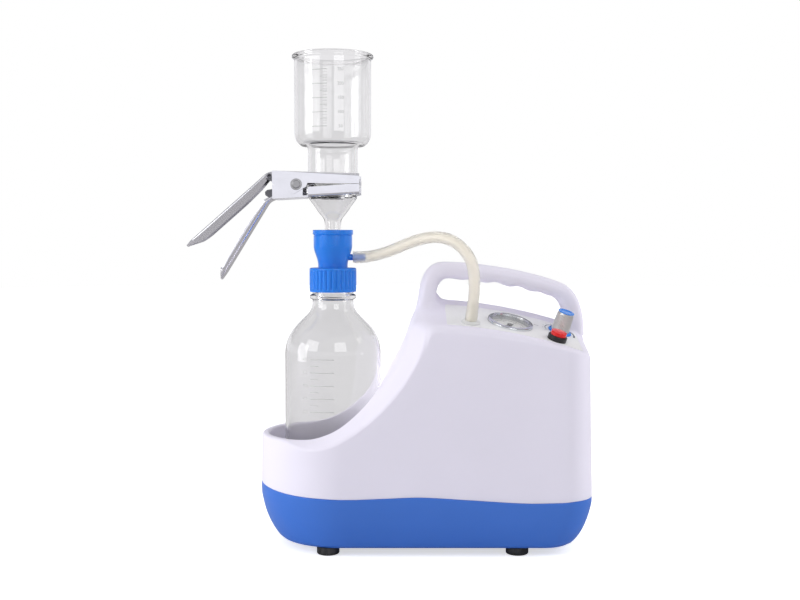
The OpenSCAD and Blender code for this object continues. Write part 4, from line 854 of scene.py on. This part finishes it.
# %% Build the cap
CAP_TOP, CAP_R, RIB_COUNT, RIB_DEPTH = NECK_TOP_Z + 6.1, 24.8, 30, 1.1
CAP_LOW = CAP_TOP - 25.3


def ribs(r, height, angle):
    """Pulls the radius in by up to the rib depth between the ribs, only on the outer wall
    and less and less near both ends."""
    fade = np.clip(np.minimum(height - (CAP_LOW + 1.8), CAP_TOP - 2.2 - height) / 1.5, 0, 1)
    outer = np.clip((r - 23.2) / 0.5, 0, 1)
    return r - RIB_DEPTH * (1 - np.abs(np.cos(RIB_COUNT / 2 * angle)) ** 0.7) * fade * outer


cap_profile = rounded([(22.3, CAP_LOW, 0), (CAP_R - 0.2, CAP_LOW, 0.5), (CAP_R - 0.2, CAP_LOW + 1.4, 0.4),
                       (CAP_R, CAP_LOW + 3.2, 0.5), (CAP_R, CAP_TOP - 4, 0.8), (CAP_R - 0.1, CAP_TOP, 1.8),
                       (16.2, CAP_TOP, 0.4), (16.2, CAP_TOP - 2, 0), (22.2, CAP_TOP - 2, 0)], 6)
side = column(CAP_R, CAP_LOW + 4, CAP_TOP - 5, 8)
at = int(np.argmin(np.abs(cap_profile[:, 1] - (CAP_TOP - 5)) + 50 * (cap_profile[:, 0] < 24.5)))
side = side[side[:, 1] > cap_profile[at - 1, 1]]
turned("ribbed_screw_cap", loop(cap_profile[:at], side, cap_profile[at:]),
       360, "screw_cap", "adapter_blue", 40, ribs)

# %% Build the adapter
SEAT_Z, CUP_R, COLLAR_R, BORE_R, BARB_Z = CAP_TOP + 17.5, 21.3, 15.6, 12.6, CAP_TOP + 11.2
t = np.linspace(0, 1, 16)
cup_curve = np.stack([COLLAR_R + (CUP_R - 0.9 - COLLAR_R) * (1 - np.cos(np.pi * t)) / 2,
                      CAP_TOP + 3 + 21 * t], axis=-1)
cup = solid("cup", [lathe(loop(
    [(BORE_R, NECK_TOP_Z - 7), (15.2, NECK_TOP_Z - 7), (15.5, NECK_TOP_Z - 6.6), (15.5, NECK_TOP_Z + 1.5),
     (NECK_R - 0.4, NECK_TOP_Z + 1.5), (NECK_R - 0.4, NECK_TOP_Z + 4.1), (COLLAR_R, NECK_TOP_Z + 4.1)],
    cup_curve,
    rounded([(CUP_R - 0.9, CUP_TOP_Z - 12, 0), (CUP_R - 0.9, CUP_TOP_Z - 6.2, 0.4),
             (CUP_R - 1.3, CUP_TOP_Z - 5.4, 0.4), (CUP_R, CUP_TOP_Z - 4.6, 0.4), (CUP_R, CUP_TOP_Z, 0.9),
             (CUP_R - 2.6, CUP_TOP_Z, 0.5), (CUP_R - 4.6, SEAT_Z, 0.3), (BORE_R, SEAT_Z, 0.5),
             (BORE_R, SEAT_Z - 3, 0)])), 112)])
t = np.linspace(0, 1, 37)[:-1]
ringed = np.stack([np.linspace(21, 34.4, 36), 3.05 + 0.95 * np.abs((t * 3) % 1 - 1) ** 1.4], axis=-1)
barb_line = loop([(13.2, 3.3), (20.6, 3.3), (21, 3.05)], ringed[1:-1],
                 [(34.4, 2.9), (34.4, 1.8), (14, 1.8), (13.2, 1.8)])
c, s = circle(32).T
spout = np.stack([AXIS_X + barb_line[:, :1] + 0 * c, barb_line[:, 1:] * c, BARB_Z + barb_line[:, 1:] * s],
                 axis=-1)
cut(cup, solid("spout", [(spout, grid_faces(len(spout), 32))]), "UNION")
finish_piece(cup, "blue_bottle_adapter", "unit", ("bottle_adapter",), "adapter_blue", 40)

# %% [markdown]
# ## Pieces that keep their CAD shape
# Turned and moulded pieces such as the gauge, the knob and the feet are right as the CAD
# has them, but their edges are knife sharp. Each gets a copy whose loose triangles are
# merged, whose flat faces are made whole again, and whose sharp edges get a small live
# bevel, because a real edge always catches a line of light.

# %% Softened copies
SHARP_ANGLE = 30        # degrees
SOFTENED = {"clamp_pin": 0.3, "gauge_case": 0.3, "gauge_bezel": 0.4, "regulator_knob": 0.35,
            "knob_skirt": 0.35, "knob_cap": 0.5, "switch_body": 0.35, "power_button": 0.7,
            "inlet_nipple": 0.4, "rubber_feet": 0.8, "power_inlet": 0.4, "silicone_stopper": 0.5,
            "control_label": 0.0}
for node, width in SOFTENED.items():
    bm = bmesh.new()
    bm.from_mesh(nodes[node].data)
    bmesh.ops.remove_doubles(bm, verts=bm.verts, dist=1e-6)
    bmesh.ops.dissolve_limit(bm, angle_limit=0.01, verts=bm.verts, edges=bm.edges)
    obj = object_from(bm, node)
    finish_piece(obj, node + "_finished", body_of[node], (node,), slots_of[node], SHARP_ANGLE)
    if width:
        edge = obj.modifiers.new("soft_edges", "BEVEL")
        edge.width, edge.segments = width * MM, 2
        edge.limit_method, edge.angle_limit = "ANGLE", math.radians(SHARP_ANGLE)
        edge.harden_normals = False
print("softened:", len(SOFTENED))

# %% [markdown]
# ## The spring clamp
# The clamp is pressed from polished aluminium sheet. Its jaws are shallow channels whose
# long bends have a radius of about 2.5 mm, and each runs through a smooth bend into a
# lever with rolled-in sides, a leaf-shaped tip and a deeper root inside the jaw. The
# drawing's jaws are kept, with their bends rounded, and the levers are swept: a C-shaped
# section travels along the lever's path and changes its depth and width on the way.

# %% Jaws and levers
SHEET, BEND_R, LEVER_BEND_R, LEVER_HALF, LEVER_DEEP, LEAF = 1.5, 2.4, 12, 13, 9.4, 13


def jaw_chunk(node):
    """Points (mm) and faces of a jaw without its lever, its two long bends rounded."""
    bm = bmesh.new()
    bm.from_mesh(nodes[node].data)
    bmesh.ops.remove_doubles(bm, verts=bm.verts, dist=1e-6)
    bmesh.ops.bisect_plane(bm, geom=bm.verts[:] + bm.edges[:] + bm.faces[:],
                           plane_co=((AXIS_X - 60.9) * MM, 0, 0), plane_no=(-1, 0, 0), clear_outer=True)
    bmesh.ops.holes_fill(bm, edges=[e for e in bm.edges if e.is_boundary], sides=0)
    bmesh.ops.dissolve_limit(bm, angle_limit=0.01, verts=bm.verts, edges=bm.edges)
    wide = max(abs(v.co.y) for v in bm.verts)
    tall = max(abs(v.co.z - FLANGE_Z * MM) for v in bm.verts)
    bends = [e for e in bm.edges
             if all(abs(abs(v.co.y) - wide) < 1e-5 and abs(v.co.z - FLANGE_Z * MM) > tall - 0.006
                    for v in e.verts)
             and abs(e.verts[0].co.x - e.verts[1].co.x) > 0.8 * e.calc_length()]
    bmesh.ops.bevel(bm, geom=bends, offset=BEND_R * MM, segments=5, profile=0.5, affect="EDGES")
    points = np.array([v.co for v in bm.verts]) / MM
    bm.verts.index_update()
    faces = [[v.index for v in f.verts] for f in bm.faces]
    bm.free()
    print(node, "bends rounded:", len(bends))
    return points, faces


def rolled_section(radius, upright):
    """Half of a lever's section as (y, depth): a flat, an arc that turns 90 degrees, an
    upright strip, and a lip that leans 14 degrees inwards."""
    half = [(y, 0.0) for y in np.linspace(0, 12.6 - radius, 4)]
    half += list(arc((LEVER_HALF - radius, radius), radius, -90, 0, 9))
    half += [(LEVER_HALF, radius + upright)] if upright else []
    deep = LEVER_DEEP - radius - upright
    half += [(LEVER_HALF - deep * k * math.tan(math.radians(14)), radius + upright + deep * k)
             for k in (0.08, 0.4, 0.7, 1)]
    return np.array(half)


def lever_chunk(start, corner, degrees, length, side, half, depths):
    """A rolled sheet lever. Its path leaves start level, turns at the corner and runs down
    at this angle. At each station the half section, mirrored, is squeezed to the depth
    there, given at distances from the start or, if negative, from the tip; the inner skin
    lies one sheet thickness inside it."""
    turn = math.radians(degrees)
    reach = LEVER_BEND_R * math.tan(turn / 2)
    path = [(x, corner[1], 0.0) for x in np.linspace(start, corner[0] + reach, 4)[:-1]]
    path += [(corner[0] + reach - LEVER_BEND_R * math.sin(a), corner[1] - LEVER_BEND_R * (1 - math.cos(a)), a)
             for a in np.linspace(0, turn, 9)]
    bend_x, bend_z = path[-1][:2]
    run = length - reach
    path += [(bend_x - s * math.cos(turn), bend_z - s * math.sin(turn), turn)
             for s in np.concatenate([np.linspace(3, run - 16, 18), np.linspace(run - 14, run, 12)])]
    path = np.array(path)
    steps = np.linalg.norm(np.diff(path[:, :2], axis=0), axis=1)
    along = np.concatenate([[0], np.cumsum(steps)])
    total = along[-1]
    full = np.vstack([half[:0:-1] * (-1, 1), half])
    rings = []
    for at, (x, z, ahead) in zip(along, path):
        squeeze = np.interp(at, *zip(*[(total + a if a < 0 else a, d) for a, d in depths])) / half[-1][1]
        narrow = math.sqrt(max(0.05, 1 - max(0, 1 - (total - at) / LEAF) ** 2))
        outer = full * (narrow, squeeze)
        slope = np.gradient(outer, axis=0)
        slope /= np.linalg.norm(slope, axis=1)[:, None]
        inner = outer + SHEET * 0.85 * np.stack([-slope[:, 1], slope[:, 0]], axis=1)
        rings.append([(AXIS_X + x + side * math.sin(ahead) * d, y, z - side * math.cos(ahead) * d)
                      for y, d in np.vstack([outer, inner[::-1]])])
    rings = np.array(rings)
    rows, columns = rings.shape[:2]
    faces = grid_faces(rows, columns).tolist()
    n = len(full)
    for first in (0, (rows - 1) * columns):
        faces += [[first + i, first + i + 1, first + 2 * n - 2 - i, first + 2 * n - 1 - i]
                  for i in range(n - 1)]
    return rings.reshape(-1, 3), faces


def plates(outline):
    """Two plates of sheet about 12 mm either side of the middle, leaning inwards as they
    rise, as (x, height) outlines measured from the bottle's axis and the joint."""
    chunks = []
    flat = np.array(outline, float) + (0, FLANGE_Z)
    rise, n = flat[:, 1] - flat[:, 1].min(), len(flat)
    for hand in (-1, 1):
        ring = [np.column_stack([AXIS_X + flat[:, 0], hand * (12.5 - t - 0.16 * rise), flat[:, 1]])
                for t in (0, SHEET)]
        faces = [list(range(n)), list(range(2 * n - 1, n - 1, -1))]
        faces += [[i, (i + 1) % n, n + (i + 1) % n, n + i] for i in range(n)]
        chunks.append((np.vstack(ring), faces))
    return chunks


def clamp_half(node, lever, outline):
    """One half of the clamp: its jaw, its lever and the two plates between them."""
    obj = solid(node, [jaw_chunk(node), lever] + plates(outline), 0, 1e-7)
    finish_piece(obj, node + "_sheet", body_of[node], (node,), slots_of[node], 38)
    shade = obj.modifiers.new("even_shade", "WEIGHTED_NORMAL")
    shade.keep_sharp, shade.weight = True, 80


clamp_half("clamp_upper_jaw",
           lever_chunk(-57, (-67.2, FLANGE_Z + 13.6), 41.5, 116.6, 1, rolled_section(2.4, 0),
                       [(0, 3.4), (8, 4.2), (16, 6.2), (28, 8.2), (50, 9.4), (70, 9.4), (-24, 9.3),
                        (-15, 8.0), (-7, 4.6), (-1, 2.2)]),
           [(-58, 12.5), (-67.5, 12), (-70, 9.8), (-69.4, 5.5), (-64.5, 3.8), (-58, 3)])
clamp_half("clamp_lower_jaw",
           lever_chunk(-56, (-65.2, FLANGE_Z - 15.4), 58.5, 99, -1, rolled_section(4.4, 1.3),
                       [(0, 3.2), (8, 4.0), (16, 6.4), (30, 8.6), (50, 9.4), (60, 9.4), (-24, 9.2),
                        (-13, 7.4), (-6, 4.4), (-1, 2.0)]),
           [(-58, -13.5), (-66, -14), (-70, -11), (-70.4, -7.5), (-68, -5.5), (-62, -4.5), (-58, -4.5)])

# %% [markdown]
# ## Print on glass and on the panel
# Real laboratory glass has white enamel graduations fired on its front, and the panel and
# the gauge have printed scales. Print is colour with hardly any thickness, so each mark
# is a thin patch laid over its surface, and one piece holds all the marks of one scale.

# %% Marks as flat drawings, and ways to lay them on a surface
PRINT_LIFT = 0.06       # how far print stands off the glass


def flat_number(text, size, at):
    """A plain number centred on a point, as 2-D points in mm and faces."""
    curve = bpy.data.curves.new("number", "FONT")
    curve.body, curve.size, curve.resolution_u = text, size, 3
    curve.align_x, curve.align_y = "CENTER", "CENTER"
    holder = bpy.data.objects.new("number", curve)
    bpy.context.scene.collection.objects.link(holder)
    bpy.context.view_layer.update()
    mesh = bpy.data.meshes.new_from_object(holder)
    mark = np.array([v.co[:2] for v in mesh.vertices]) + at, [list(p.vertices) for p in mesh.polygons]
    bpy.data.objects.remove(holder)
    bpy.data.curves.remove(curve)
    bpy.data.meshes.remove(mesh)
    return mark


def bar(x0, x1, y0, y1, steps=8):
    """A flat bar as a strip of faces, cut often enough along x to bend round a wall."""
    x = np.linspace(x0, x1, steps)
    points = np.vstack([np.stack([x, np.full(steps, y)], axis=-1) for y in (y0, y1)])
    return points, grid_faces(2, steps, closed=False).tolist()


def ladder(z0, step, long, short, numbers, size, at):
    """Upright scale marks: every step mm a long bar with its number, and short bars
    between. Bars are (left, right, lower and upper edge above the long bar)."""
    marks = []
    for k, number in enumerate(numbers):
        z = z0 + step * k
        bars = [long] + (short if k < len(numbers) - 1 else [])
        marks += [bar(x0, x1, z + y0, z + y1) for x0, x1, y0, y1 in bars]
        marks.append(flat_number(str(number), size, (at, z)))
    return marks


def tick(angle, r0, r1, width):
    """A bar from radius r0 to r1 at an angle in degrees."""
    a = math.radians(angle)
    ahead = np.array([math.cos(a), math.sin(a)])
    side = np.array([-math.sin(a), math.cos(a)]) * width / 2
    corners = [ahead * r0 - side, ahead * r1 - side, ahead * r1 + side, ahead * r0 + side]
    return np.array(corners), [[0, 1, 2, 3]]


def arc_band(r, start, end, w0, w1, steps):
    """A band along a circle whose width grows from w0 to w1."""
    w = np.linspace(w0, w1, steps) / 2
    ring = [arc((0, 0), r + s * w, start, end, steps) for s in (-1, 1)]
    return np.concatenate(ring), grid_faces(2, steps, closed=False).tolist()


def round_wall(radius):
    """Wraps a flat drawing round an upright wall in front of the axis: x becomes an angle,
    y stays the height."""
    def wrap(p):
        angle = p[:, 0] / radius
        return np.stack([AXIS_X + radius * np.sin(angle), -radius * np.cos(angle), p[:, 1]], axis=-1)
    return wrap


def on_roof(place, lift):
    """Lays a flat drawing centred on a place over the curved label."""
    def wrap(p):
        x, y = place[0] + p[:, 0], place[1] + p[:, 1]
        return np.stack([AXIS_X + x, y, roof(x, y) + lift], axis=-1)
    return wrap


def print_piece(name, marks, wrap, slot):
    """Joins flat marks and lays them on a surface: wrap turns 2-D points into 3-D ones."""
    bm = bmesh.new()
    for points, faces in marks:
        verts = [bm.verts.new(p * MM) for p in wrap(points)]
        for face in faces:
            bm.faces.new([verts[i] for i in face])
    tie(object_from(bm, name), "unit", (), slot, slot + "_print")


print("helpers for print are ready")

# %% Graduations, the gauge's dial and the regulator's scale
print_piece("bottle_graduations",
            ladder(142.6, 13.4, (-21, 4, -0.45, 0.45), [(-21, -12, 6.4, 7.0)],
                   range(500, 901, 100), 4.2, -27.5),
            round_wall(BOTTLE_R + PRINT_LIFT), "clear_glass")
print_piece("funnel_graduations",
            ladder(434.4, 14.5, (-20, -3.5, -0.35, 0.35),
                   [(-11, -3.5, 7.0, 7.5)] + [(-8, -3.5, h - 0.2, h + 0.2) for h in (2.9, 5.8, 8.7, 11.6)],
                   range(50, 251, 50), 4.6, 10.5),
            round_wall(FUNNEL_R + PRINT_LIFT), "clear_glass")

marks = [arc_band(15.6, 225, -45, 0.35, 0.35, 64)]
for k in range(51):
    angle = 225 - 270 * k / 50
    end, width = (18.6, 0.55) if k % 10 == 0 else (17.6, 0.25) if k % 5 == 0 else (16.8, 0.25)
    marks.append(tick(angle, 15.6, end, width))
    if k % 10 == 0:
        marks.append(flat_number(str(2 * k), 3.0, arc((0, 0), 12.2, angle, angle, 1)[0]))
print_piece("dial_scale", marks, panel_frame(GAUGE, -4.14), "dial_face")

marks = [arc_band(15.0, 205, -25, 0.5, 1.9, 60)] + [tick(205 - 23 * k, 16.6, 18.2, 0.5) for k in range(11)]
print_piece("regulator_scale", marks + [tick(180, 22, 27, 0.7)], on_roof(KNOB, 0.5), "panel_label")

# %% [markdown]
# ## Finishes
# Four effects are shared by many finishes, so each is a node group: a moulded skin with
# its fine spark-eroded grain, its slow tone changes and the dust that settles on top;
# brushed or rolled metal with long streaks; smears, which only change how glossy a
# surface is; and rubber with its bloom. Each group gives colours, masks and normals, and
# every finish then has its own shader. All of them work in the object's own space, in
# metres, so that the grain has its true size.

# %% Groups for shared effects
class Shared:
    """A node group being built. Its inputs are (name, kind, default); its outputs are a
    roughness, a normal and, unless plain, a colour. place is the object's own space."""

    def __init__(self, name, inputs, plain=False):
        self.tree = bpy.data.node_groups.new(name, "ShaderNodeTree")
        for label, kind, value in inputs:
            socket = self.tree.interface.new_socket(label, in_out="INPUT", socket_type="NodeSocket" + kind)
            socket.default_value = value
        results = [("Colour", "Color"), ("Roughness", "Float"), ("Normal", "Vector")]
        for label, kind in results[1:] if plain else results:
            self.tree.interface.new_socket(label, in_out="OUTPUT", socket_type="NodeSocket" + kind)
        self.given = self.tree.nodes.new("NodeGroupInput").outputs
        self.out = self.tree.nodes.new("NodeGroupOutput").inputs
        self.place = add(self.tree, "TexCoord").outputs["Object"]

    def node(self, kind, sockets, output, **properties):
        """A node with these sockets set or linked; gives its output of this name."""
        node = add(self.tree, kind, **properties)
        for label, value in sockets.items():
            link(self.tree, value, node.inputs[label])
        return node.outputs[output]

    def math(self, operation, *values, clamp=False):
        """One Math node."""
        return math_node(self.tree, operation, *values, clamp=clamp)

    def noise(self, scale, detail=2.0, rough=0.5, place=None):
        """Fractal noise from 0 to 1 at this many features per metre."""
        return self.node("TexNoise", {"Vector": place or self.place, "Scale": scale, "Detail": detail,
                                      "Roughness": rough}, "Fac")

    def mapped(self, value, low, high, to_low=0.0, to_high=1.0):
        """A value moved from one range to another, clamped at both ends."""
        return self.node("MapRange", {"Value": value, "From Min": low, "From Max": high,
                                      "To Min": to_low, "To Max": to_high}, "Result")

    def blended(self, factor, a, b, mode="MIX"):
        """Two colours mixed by a factor."""
        return self.node("Mix", {"Factor": factor, 6: a, 7: b}, 2, data_type="RGBA", blend_type=mode)

    def finish(self, rough, height, strength, distance, colour=None):
        """Gives the outputs: the colour, the roughness, clamped, and the normal bent by a
        height, in metres."""
        if colour is not None:
            link(self.tree, colour, self.out["Colour"])
        link(self.tree, rough, self.out["Roughness"])
        bent = self.node("Bump", {"Height": height, "Strength": strength, "Distance": distance}, "Normal")
        link(self.tree, bent, self.out["Normal"])


DUST, FILM, CHALK = (0.55, 0.54, 0.52, 1), (0.45, 0.44, 0.43, 1), (0.35, 0.34, 0.33, 1)

moulded = Shared("moulded_skin", [
    ("Colour", "Color", (0.8, 0.8, 0.8, 1)), ("Grain per metre", "Float", 1600.0),
    ("Grain depth", "Float", 0.25),
    ("Tone change", "Float", 0.04), ("Dust", "Float", 0.15), ("Roughness", "Float", 0.4)])
g, given = moulded, moulded.given
slow = g.mapped(g.noise(11.0, 3.0), 0.3, 0.7, -1.0, 1.0)
tone = g.math("ADD", g.math("MULTIPLY", slow, given["Tone change"]), 1.0)
tinted = g.node("HueSaturation", {"Color": given["Colour"], "Value": tone}, "Color")
normal = g.node("SeparateXYZ", {0: add(g.tree, "NewGeometry").outputs["Normal"]}, "Z")
facing_up = g.mapped(normal, 0.35, 0.95)
speck = g.mapped(g.noise(240.0, 4.0, 0.7), 0.45, 0.75)
dusty = g.math("MULTIPLY", g.math("MULTIPLY", facing_up, speck), given["Dust"])
rougher = g.math("MULTIPLY_ADD", slow, 0.05, given["Roughness"])
g.finish(g.math("MULTIPLY_ADD", dusty, 0.4, rougher, clamp=True),
         g.noise(given["Grain per metre"], 3.0, 0.65), given["Grain depth"], 0.0002,
         g.blended(dusty, tinted, DUST))

streaked = Shared("streaked_metal", [
    ("Colour", "Color", (0.8, 0.8, 0.8, 1)), ("Streak scale", "Vector", (40.0, 2500.0, 2500.0)),
    ("Depth", "Float", 0.2), ("Roughness", "Float", 0.22), ("Wear", "Float", 0.2)])
g, given = streaked, streaked.given
scaled = g.node("VectorMath", {0: g.place, 1: given["Streak scale"]}, 0, operation="MULTIPLY")
lines = g.noise(1.0, 3.0, 0.6, scaled)
scratch = g.mapped(g.noise(0.23, 2.0, 0.5, scaled), 0.62, 0.68)
worn = g.math("MULTIPLY", g.mapped(g.noise(45.0, 4.0, 0.6), 0.42, 0.72), given["Wear"])
duller = g.math("MULTIPLY_ADD", worn, 0.35, given["Roughness"])
g.finish(g.math("MULTIPLY_ADD", lines, 0.08, duller, clamp=True),
         g.math("MULTIPLY_ADD", scratch, 0.3, lines), given["Depth"], 0.00006,
         g.blended(worn, given["Colour"], FILM, "MULTIPLY"))

smeared = Shared("smears", [("Roughness", "Float", 0.05), ("Amount", "Float", 0.1)], plain=True)
g, given = smeared, smeared.given
patch = g.mapped(g.noise(28.0, 4.0, 0.62), 0.5, 0.72)
g.finish(g.math("MULTIPLY_ADD", patch, given["Amount"], given["Roughness"]), g.noise(60.0, 2.0), 0.06, 0.0006)

rubbery = Shared("rubber_skin", [
    ("Colour", "Color", (0.03, 0.03, 0.03, 1)), ("Bloom", "Float", 0.25), ("Roughness", "Float", 0.6)])
g, given = rubbery, rubbery.given
chalk = g.math("MULTIPLY", g.mapped(g.noise(130.0, 5.0, 0.65), 0.45, 0.8), given["Bloom"])
g.finish(g.math("MULTIPLY_ADD", chalk, 0.5, given["Roughness"], clamp=True),
         g.noise(1100.0, 3.0, 0.7), 0.35, 0.0002, g.blended(chalk, given["Colour"], CHALK))
print("groups:", [tree.name for tree in bpy.data.node_groups])

# %% One finish from one group
finishes = {}


def finish_with(slot_name, shared, values, plain):
    """A finish: the shared group with its values drives colour, gloss and normal, and
    plain are the shader's own constants."""
    material, tree, shader = new_material(slot_name)
    node = tree.nodes.new("ShaderNodeGroup")
    node.node_tree = shared.tree
    for label, value in values.items():
        node.inputs[label].default_value = value
    for label, socket in (("Colour", "Base Color"), ("Roughness", "Roughness"), ("Normal", "Normal")):
        if label in node.outputs:
            tree.links.new(node.outputs[label], shader.inputs[socket])
    for label, value in plain.items():
        shader.inputs[label].default_value = value
    finishes[slot_name] = material
    return tree, shader


def rgb(*levels):
    """A colour given as it looks on a screen, 0 to 255, as linear light."""
    return tuple(((v / 255 + 0.055) / 1.055) ** 2.4 if v > 10 else v / 3295 for v in levels) + (1,)


# %% [markdown]
# ### Moulded plastics
# The housing is ABS with a fine satin grain and the faint tone changes of a big moulding;
# the base is the same in blue. The adapter and its cap are polypropylene: smoother, a
# little waxy, with light going a short way in. The trim, the button and the fittings are
# smooth and glossy. One group serves them all and the print: what differs is the grain's
# size and depth, the gloss and the dust.

# %% Plastics and print
MOULDED_INPUTS = "Colour", "Grain per metre", "Grain depth", "Tone change", "Dust", "Roughness"
MOULDED = {
    "white_housing": (rgb(238, 234, 249), 1500.0, 0.22, 0.012, 0.05, 0.42,
                      {"Specular IOR Level": 0.5, "Coat Weight": 0.06, "Coat Roughness": 0.25}),
    "blue_base": (rgb(58, 115, 211), 1500.0, 0.22, 0.03, 0.08, 0.34, {"Specular IOR Level": 0.5}),
    "adapter_blue": (rgb(22, 124, 230), 2600.0, 0.10, 0.03, 0.10, 0.28,
                     {"Subsurface Weight": 0.12, "Subsurface Scale": 0.002}),
    "trim_blue": (rgb(10, 132, 232), 3000.0, 0.06, 0.02, 0.08, 0.22, {"Coat Weight": 0.3}),
    "switch_black": (rgb(30, 30, 32), 2200.0, 0.20, 0.05, 0.12, 0.35, {}),
    "button_red": (rgb(232, 20, 24), 3000.0, 0.05, 0.03, 0.08, 0.16,
                   {"Coat Weight": 0.4, "Coat Roughness": 0.06}),
    "fitting_white": (rgb(226, 226, 226), 2400.0, 0.12, 0.02, 0.10, 0.34, {}),
    "panel_label": (rgb(242, 242, 244), 3200.0, 0.10, 0.015, 0.12, 0.38, {}),
    "gauge_body": (rgb(150, 152, 156), 2400.0, 0.12, 0.04, 0.15, 0.35, {}),
    "dial_face": (rgb(236, 236, 234), 3500.0, 0.04, 0.01, 0.03, 0.5, {}),
    "needle_black": (rgb(24, 24, 26), 3000.0, 0.05, 0.02, 0.05, 0.4, {}),
    "motor_paint": (rgb(64, 68, 74), 1200.0, 0.3, 0.06, 0.3, 0.42, {}),
    "clear_glass_print": (rgb(205, 205, 205), 4000.0, 0.1, 0.06, 0.0, 0.5, {}),
    "dial_face_print": (rgb(30, 30, 34), 4000.0, 0.1, 0.06, 0.0, 0.5, {}),
    "panel_label_print": (rgb(92, 98, 106), 4000.0, 0.1, 0.06, 0.0, 0.45, {}),
}
for slot_name, (*values, plain) in MOULDED.items():
    finish_with(slot_name, moulded, dict(zip(MOULDED_INPUTS, values)), plain)
print(len(MOULDED), "moulded, painted and printed finishes")

# %% [markdown]
# ### Metals
# The clamp is pressed aluminium sheet, polished along its length, so its streaks run with
# x and are faint. The knob is turned and has fine rings, the bezel is chromed, and the
# pump's castings are duller. The streak group takes the direction as a scale.

# %% Metals
METAL_INPUTS = "Colour", "Streak scale", "Depth", "Roughness", "Wear"
METALS = {
    "clamp_aluminium": (rgb(238, 238, 243), (12.0, 160.0, 160.0), 0.02, 0.10, 0.08),
    "knob_metal": (rgb(228, 228, 226), (300.0, 300.0, 2600.0), 0.12, 0.32, 0.12),
    "gauge_ring": (rgb(226, 228, 232), (500.0, 500.0, 500.0), 0.04, 0.10, 0.15),
    "screw_steel": (rgb(188, 188, 190), (900.0, 900.0, 400.0), 0.15, 0.28, 0.35),
    "valve_brass": (rgb(214, 178, 104), (600.0, 600.0, 1500.0), 0.15, 0.26, 0.3),
    "pump_aluminium": (rgb(190, 192, 196), (700.0, 700.0, 700.0), 0.5, 0.45, 0.35),
    "silencer_bronze": (rgb(176, 138, 92), (1500.0, 1500.0, 1500.0), 0.9, 0.6, 0.4),
}
for slot_name, values in METALS.items():
    finish_with(slot_name, streaked, dict(zip(METAL_INPUTS, values)), {"Metallic": 1.0})
print(len(METALS), "metal finishes")

# %% [markdown]
# ### Glass, silicone and rubber
# Borosilicate glass is clear with the very faint waves of blown glass and a few smears
# that catch the light. The lens is the same but flat. The hose is milky silicone: part of
# the light goes through and comes out soft, so the barb shows as a blue shade. The feet
# are black rubber with a chalky bloom, and the sintered disc is white and grainy.

# %% Glass and soft finishes
for slot_name, smear, colour, ior in (("clear_glass", 0.03, rgb(240, 240, 240), 1.473),
                                      ("clear_lens", 0.06, (1, 1, 1, 1), 1.45)):
    tree, shader = finish_with(slot_name, smeared, {"Roughness": 0.0, "Amount": smear},
                               {"Base Color": colour, "Transmission Weight": 1.0, "IOR": ior})
    clear = add(tree, "BsdfTransparent", in_Color=(0.98, 0.98, 0.98, 1))
    by_ray(tree, shader.outputs[0], [("Shadow", clear)], surface_of(tree))
SOFT = {
    "foot_rubber": (rgb(26, 26, 28), 0.22, 0.55, {}),
    "hose_silicone": (rgb(255, 252, 244), 0.01, 0.40, {"Transmission Weight": 0.85, "IOR": 1.41}),
    "inner_tube": (rgb(226, 226, 220), 0.08, 0.35, {"Transmission Weight": 0.4, "IOR": 1.41}),
    "seal_silicone": (rgb(214, 214, 208), 0.12, 0.45, {"Transmission Weight": 0.25, "IOR": 1.41}),
    "frit_glass": (rgb(238, 238, 236), 0.10, 0.75, {"Transmission Weight": 0.3, "IOR": 1.47}),
}
for slot_name, (*values, plain) in SOFT.items():
    finish_with(slot_name, rubbery, dict(zip(("Colour", "Bloom", "Roughness"), values)), plain)
print("finishes in all:", len(finishes))

# %% Give every piece and every visible CAD node its finish
for node_name, slot_name in slots_of.items():
    for mesh_slot in nodes[node_name].material_slots:
        mesh_slot.material = finishes[slot_name]
for piece_name, slot_name in finish_of.items():
    mesh = bpy.data.objects[piece_name].data
    mesh.materials.clear()
    mesh.materials.append(finishes[slot_name])
print("finished:", len(slots_of), "nodes and", len(finish_of), "pieces")
